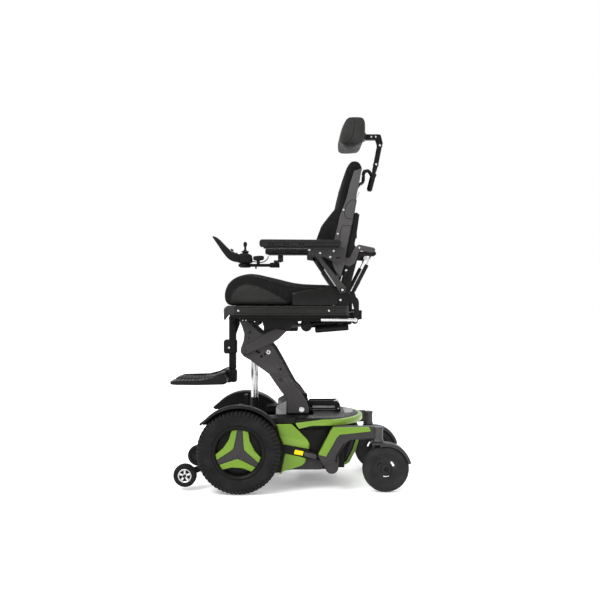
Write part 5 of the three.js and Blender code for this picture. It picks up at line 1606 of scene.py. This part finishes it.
def joystick():
    swing, stick = hub_of("joystick_swing"), hub_of("joystick_side")
    y = swing.y
    arm = [block("arm", -252, -86, y - 6.5, y + 6.5, 986, 1001, 2.4, 4), plate("pivot", [(-98, 982, 5),
        (-98, 1005, 5), (-84, 1007, 4), (-50, 1007, 4), (-48, 982, 4)], y - 13.5, y + 13.5, 3,
        radius=4), lathe("dock", [(0.01, 982), (25, 982), (27, 985), (27, 998), (24, 1002),
        (0.01, 1002)], (stick.x, y, 0), axis="Z", sides=56), block("neck", -162, -146, y - 5, y + 5,
        1000, 1016, 1.4, 2), lathe("screw", rod_profile(4, 976, 988), (-166, y, 0), axis="Z", sides=24)]
    bore = lathe("bore", rod_profile(7.6, 970, 1004), (swing.x, y, 0), axis="Z", sides=28, radius=0)
    frame_part = cut(joined("joystick_bracket", arm), [bore])
    piece(frame_part, "joystick_arm", "black_metal", ["joystick_arm"])
    palm = plate("joystick_palm", [(-180, 1020, 6), (-178, 1038, 5), (-150, 1041, 8), (-128, 1040, 5),
        (-125, 1030, 5), (-130, 1020, 6), (-160, 1014, 8)], y - 17, y + 17, 5, radius=5)
    piece(palm, "joystick_arm", "pad")
    housing = plate("housing", [(-262, 1012, 10), (-256, 1044, 10), (-240, 1051, 10), (-206, 1051, 10),
        (-186, 1044, 8), (-182, 1008, 6), (-196, 1002, 6), (-244, 1002, 10)], y - 33, y + 33, 7,
        radius=8)
    upper = smooth_edge([(-374, 1137), (-345, 1119), (-309, 1082), (-282, 1058), (-248, 1047)])
    under = smooth_edge([(-240, 1012), (-266, 1010), (-297, 1022), (-326, 1055), (-358, 1102), (-378, 1131)])
    wing = plate("wing", upper + under, y - 35.5, y + 35.5, 2.6, radius=0)
    well = lathe("well", [(0.01, 1022), (18, 1022), (22, 1034), (22, 1060), (0.01, 1060)],
        (stick.x, y, 0), axis="Z", sides=48, radius=1)
    shell = cut(joined("joystick_housing", [housing, wing]), [well])
    piece(shell, "joystick_arm", "black_plastic", ["joystick_box"])
    slope = smooth_edge([(-364, 1132.5), (-345, 1120), (-309, 1083.4), (-292, 1067.2)])
    screen_edge = [(x + 0.6, z + 0.8) for x, z in slope] + [(x - 2.4, z - 3) for x, z in reversed(slope)]
    piece(plate("joystick_screen", screen_edge, y - 28, y + 28, 0.5, radius=0), "joystick_arm", "screen")
    keys = []
    for row, x in enumerate((-277, -262)):
        z = 1057.5 if row == 0 else 1052.5
        for shift in (-18, 0, 18):
            keys.append(lathe("key", [(0.01, z - 3), (5, z - 3), (5, z + 1.6), (3.6, z + 2.6),
                (0.01, z + 2.8)], (x, y + shift, 0), axis="Z", sides=24))
    piece(joined("joystick_keys", keys), "joystick_arm", "grey_plastic")
    toggles = []
    for shift in (-29, 29):
        toggles.append(pipe("toggle", [(-285, y + shift, 1058), (-284.5, y + shift, 1064),
            (-284, y + shift, 1069)], 2.2, 10))
        toggles.append(lathe("ball", [(0.01, 1066), (4.5, 1067), (6, 1070), (4.5, 1073), (0.01, 1074)],
            (-284, y + shift, 0), axis="Z", sides=24))
    piece(joined("joystick_toggles", toggles), "joystick_arm", "black_plastic")
    z = stick.z
    gimbal = lathe("joystick_ball", [(0.01, z - 9), (7, z - 9), (10, z - 5), (10, z - 2), (6, z),
        (0.01, z)], (stick.x, y, 0), axis="Z", sides=40)
    piece(gimbal, "joystick_gimbal", "black_plastic", ["joystick_gimbal"])
    lever = lathe("joystick_stick", [(0.01, z + 4), (5, z + 4), (18, z + 8), (20, z + 11), (14, z + 14),
        (14, z + 16), (19.5, z + 19), (19.5, z + 22), (10, z + 26), (5.6, z + 32), (5, z + 40),
        (6.5, z + 46), (9.2, z + 53), (9.6, z + 60), (7.2, z + 67), (3, z + 70), (0.01, z + 70.4)],
        (stick.x, y, 0), axis="Z", sides=48, radius=2)
    piece(lever, "joystick_lever", "pad", ["joystick_lever"])


# ---- the whole chair ----
LOOK = make_materials()

make_stage()
joystick_cable()
joystick()
for name, sign in SIDES:
    drive_wheel(name, sign)
    caster_wheel(name, sign)
    antitip_wheel(name, sign)
    fender(name, sign)
    side_panel(name, sign)
    caster_arm(name, sign)
    caster_fork(name, sign)
    armrest(name, sign)
    footplate(name, sign)
trim_ring()
top_cover()
base_body()
lift_arm()
keep("lift_link", "dark_grey", 1.4)
lift_actuator()
seat_carrier()
seat_frame()
seat_cushion()
tilt_actuator()
back_shell()
back_cushion()
back_frame()
headrest()
leg_rest()
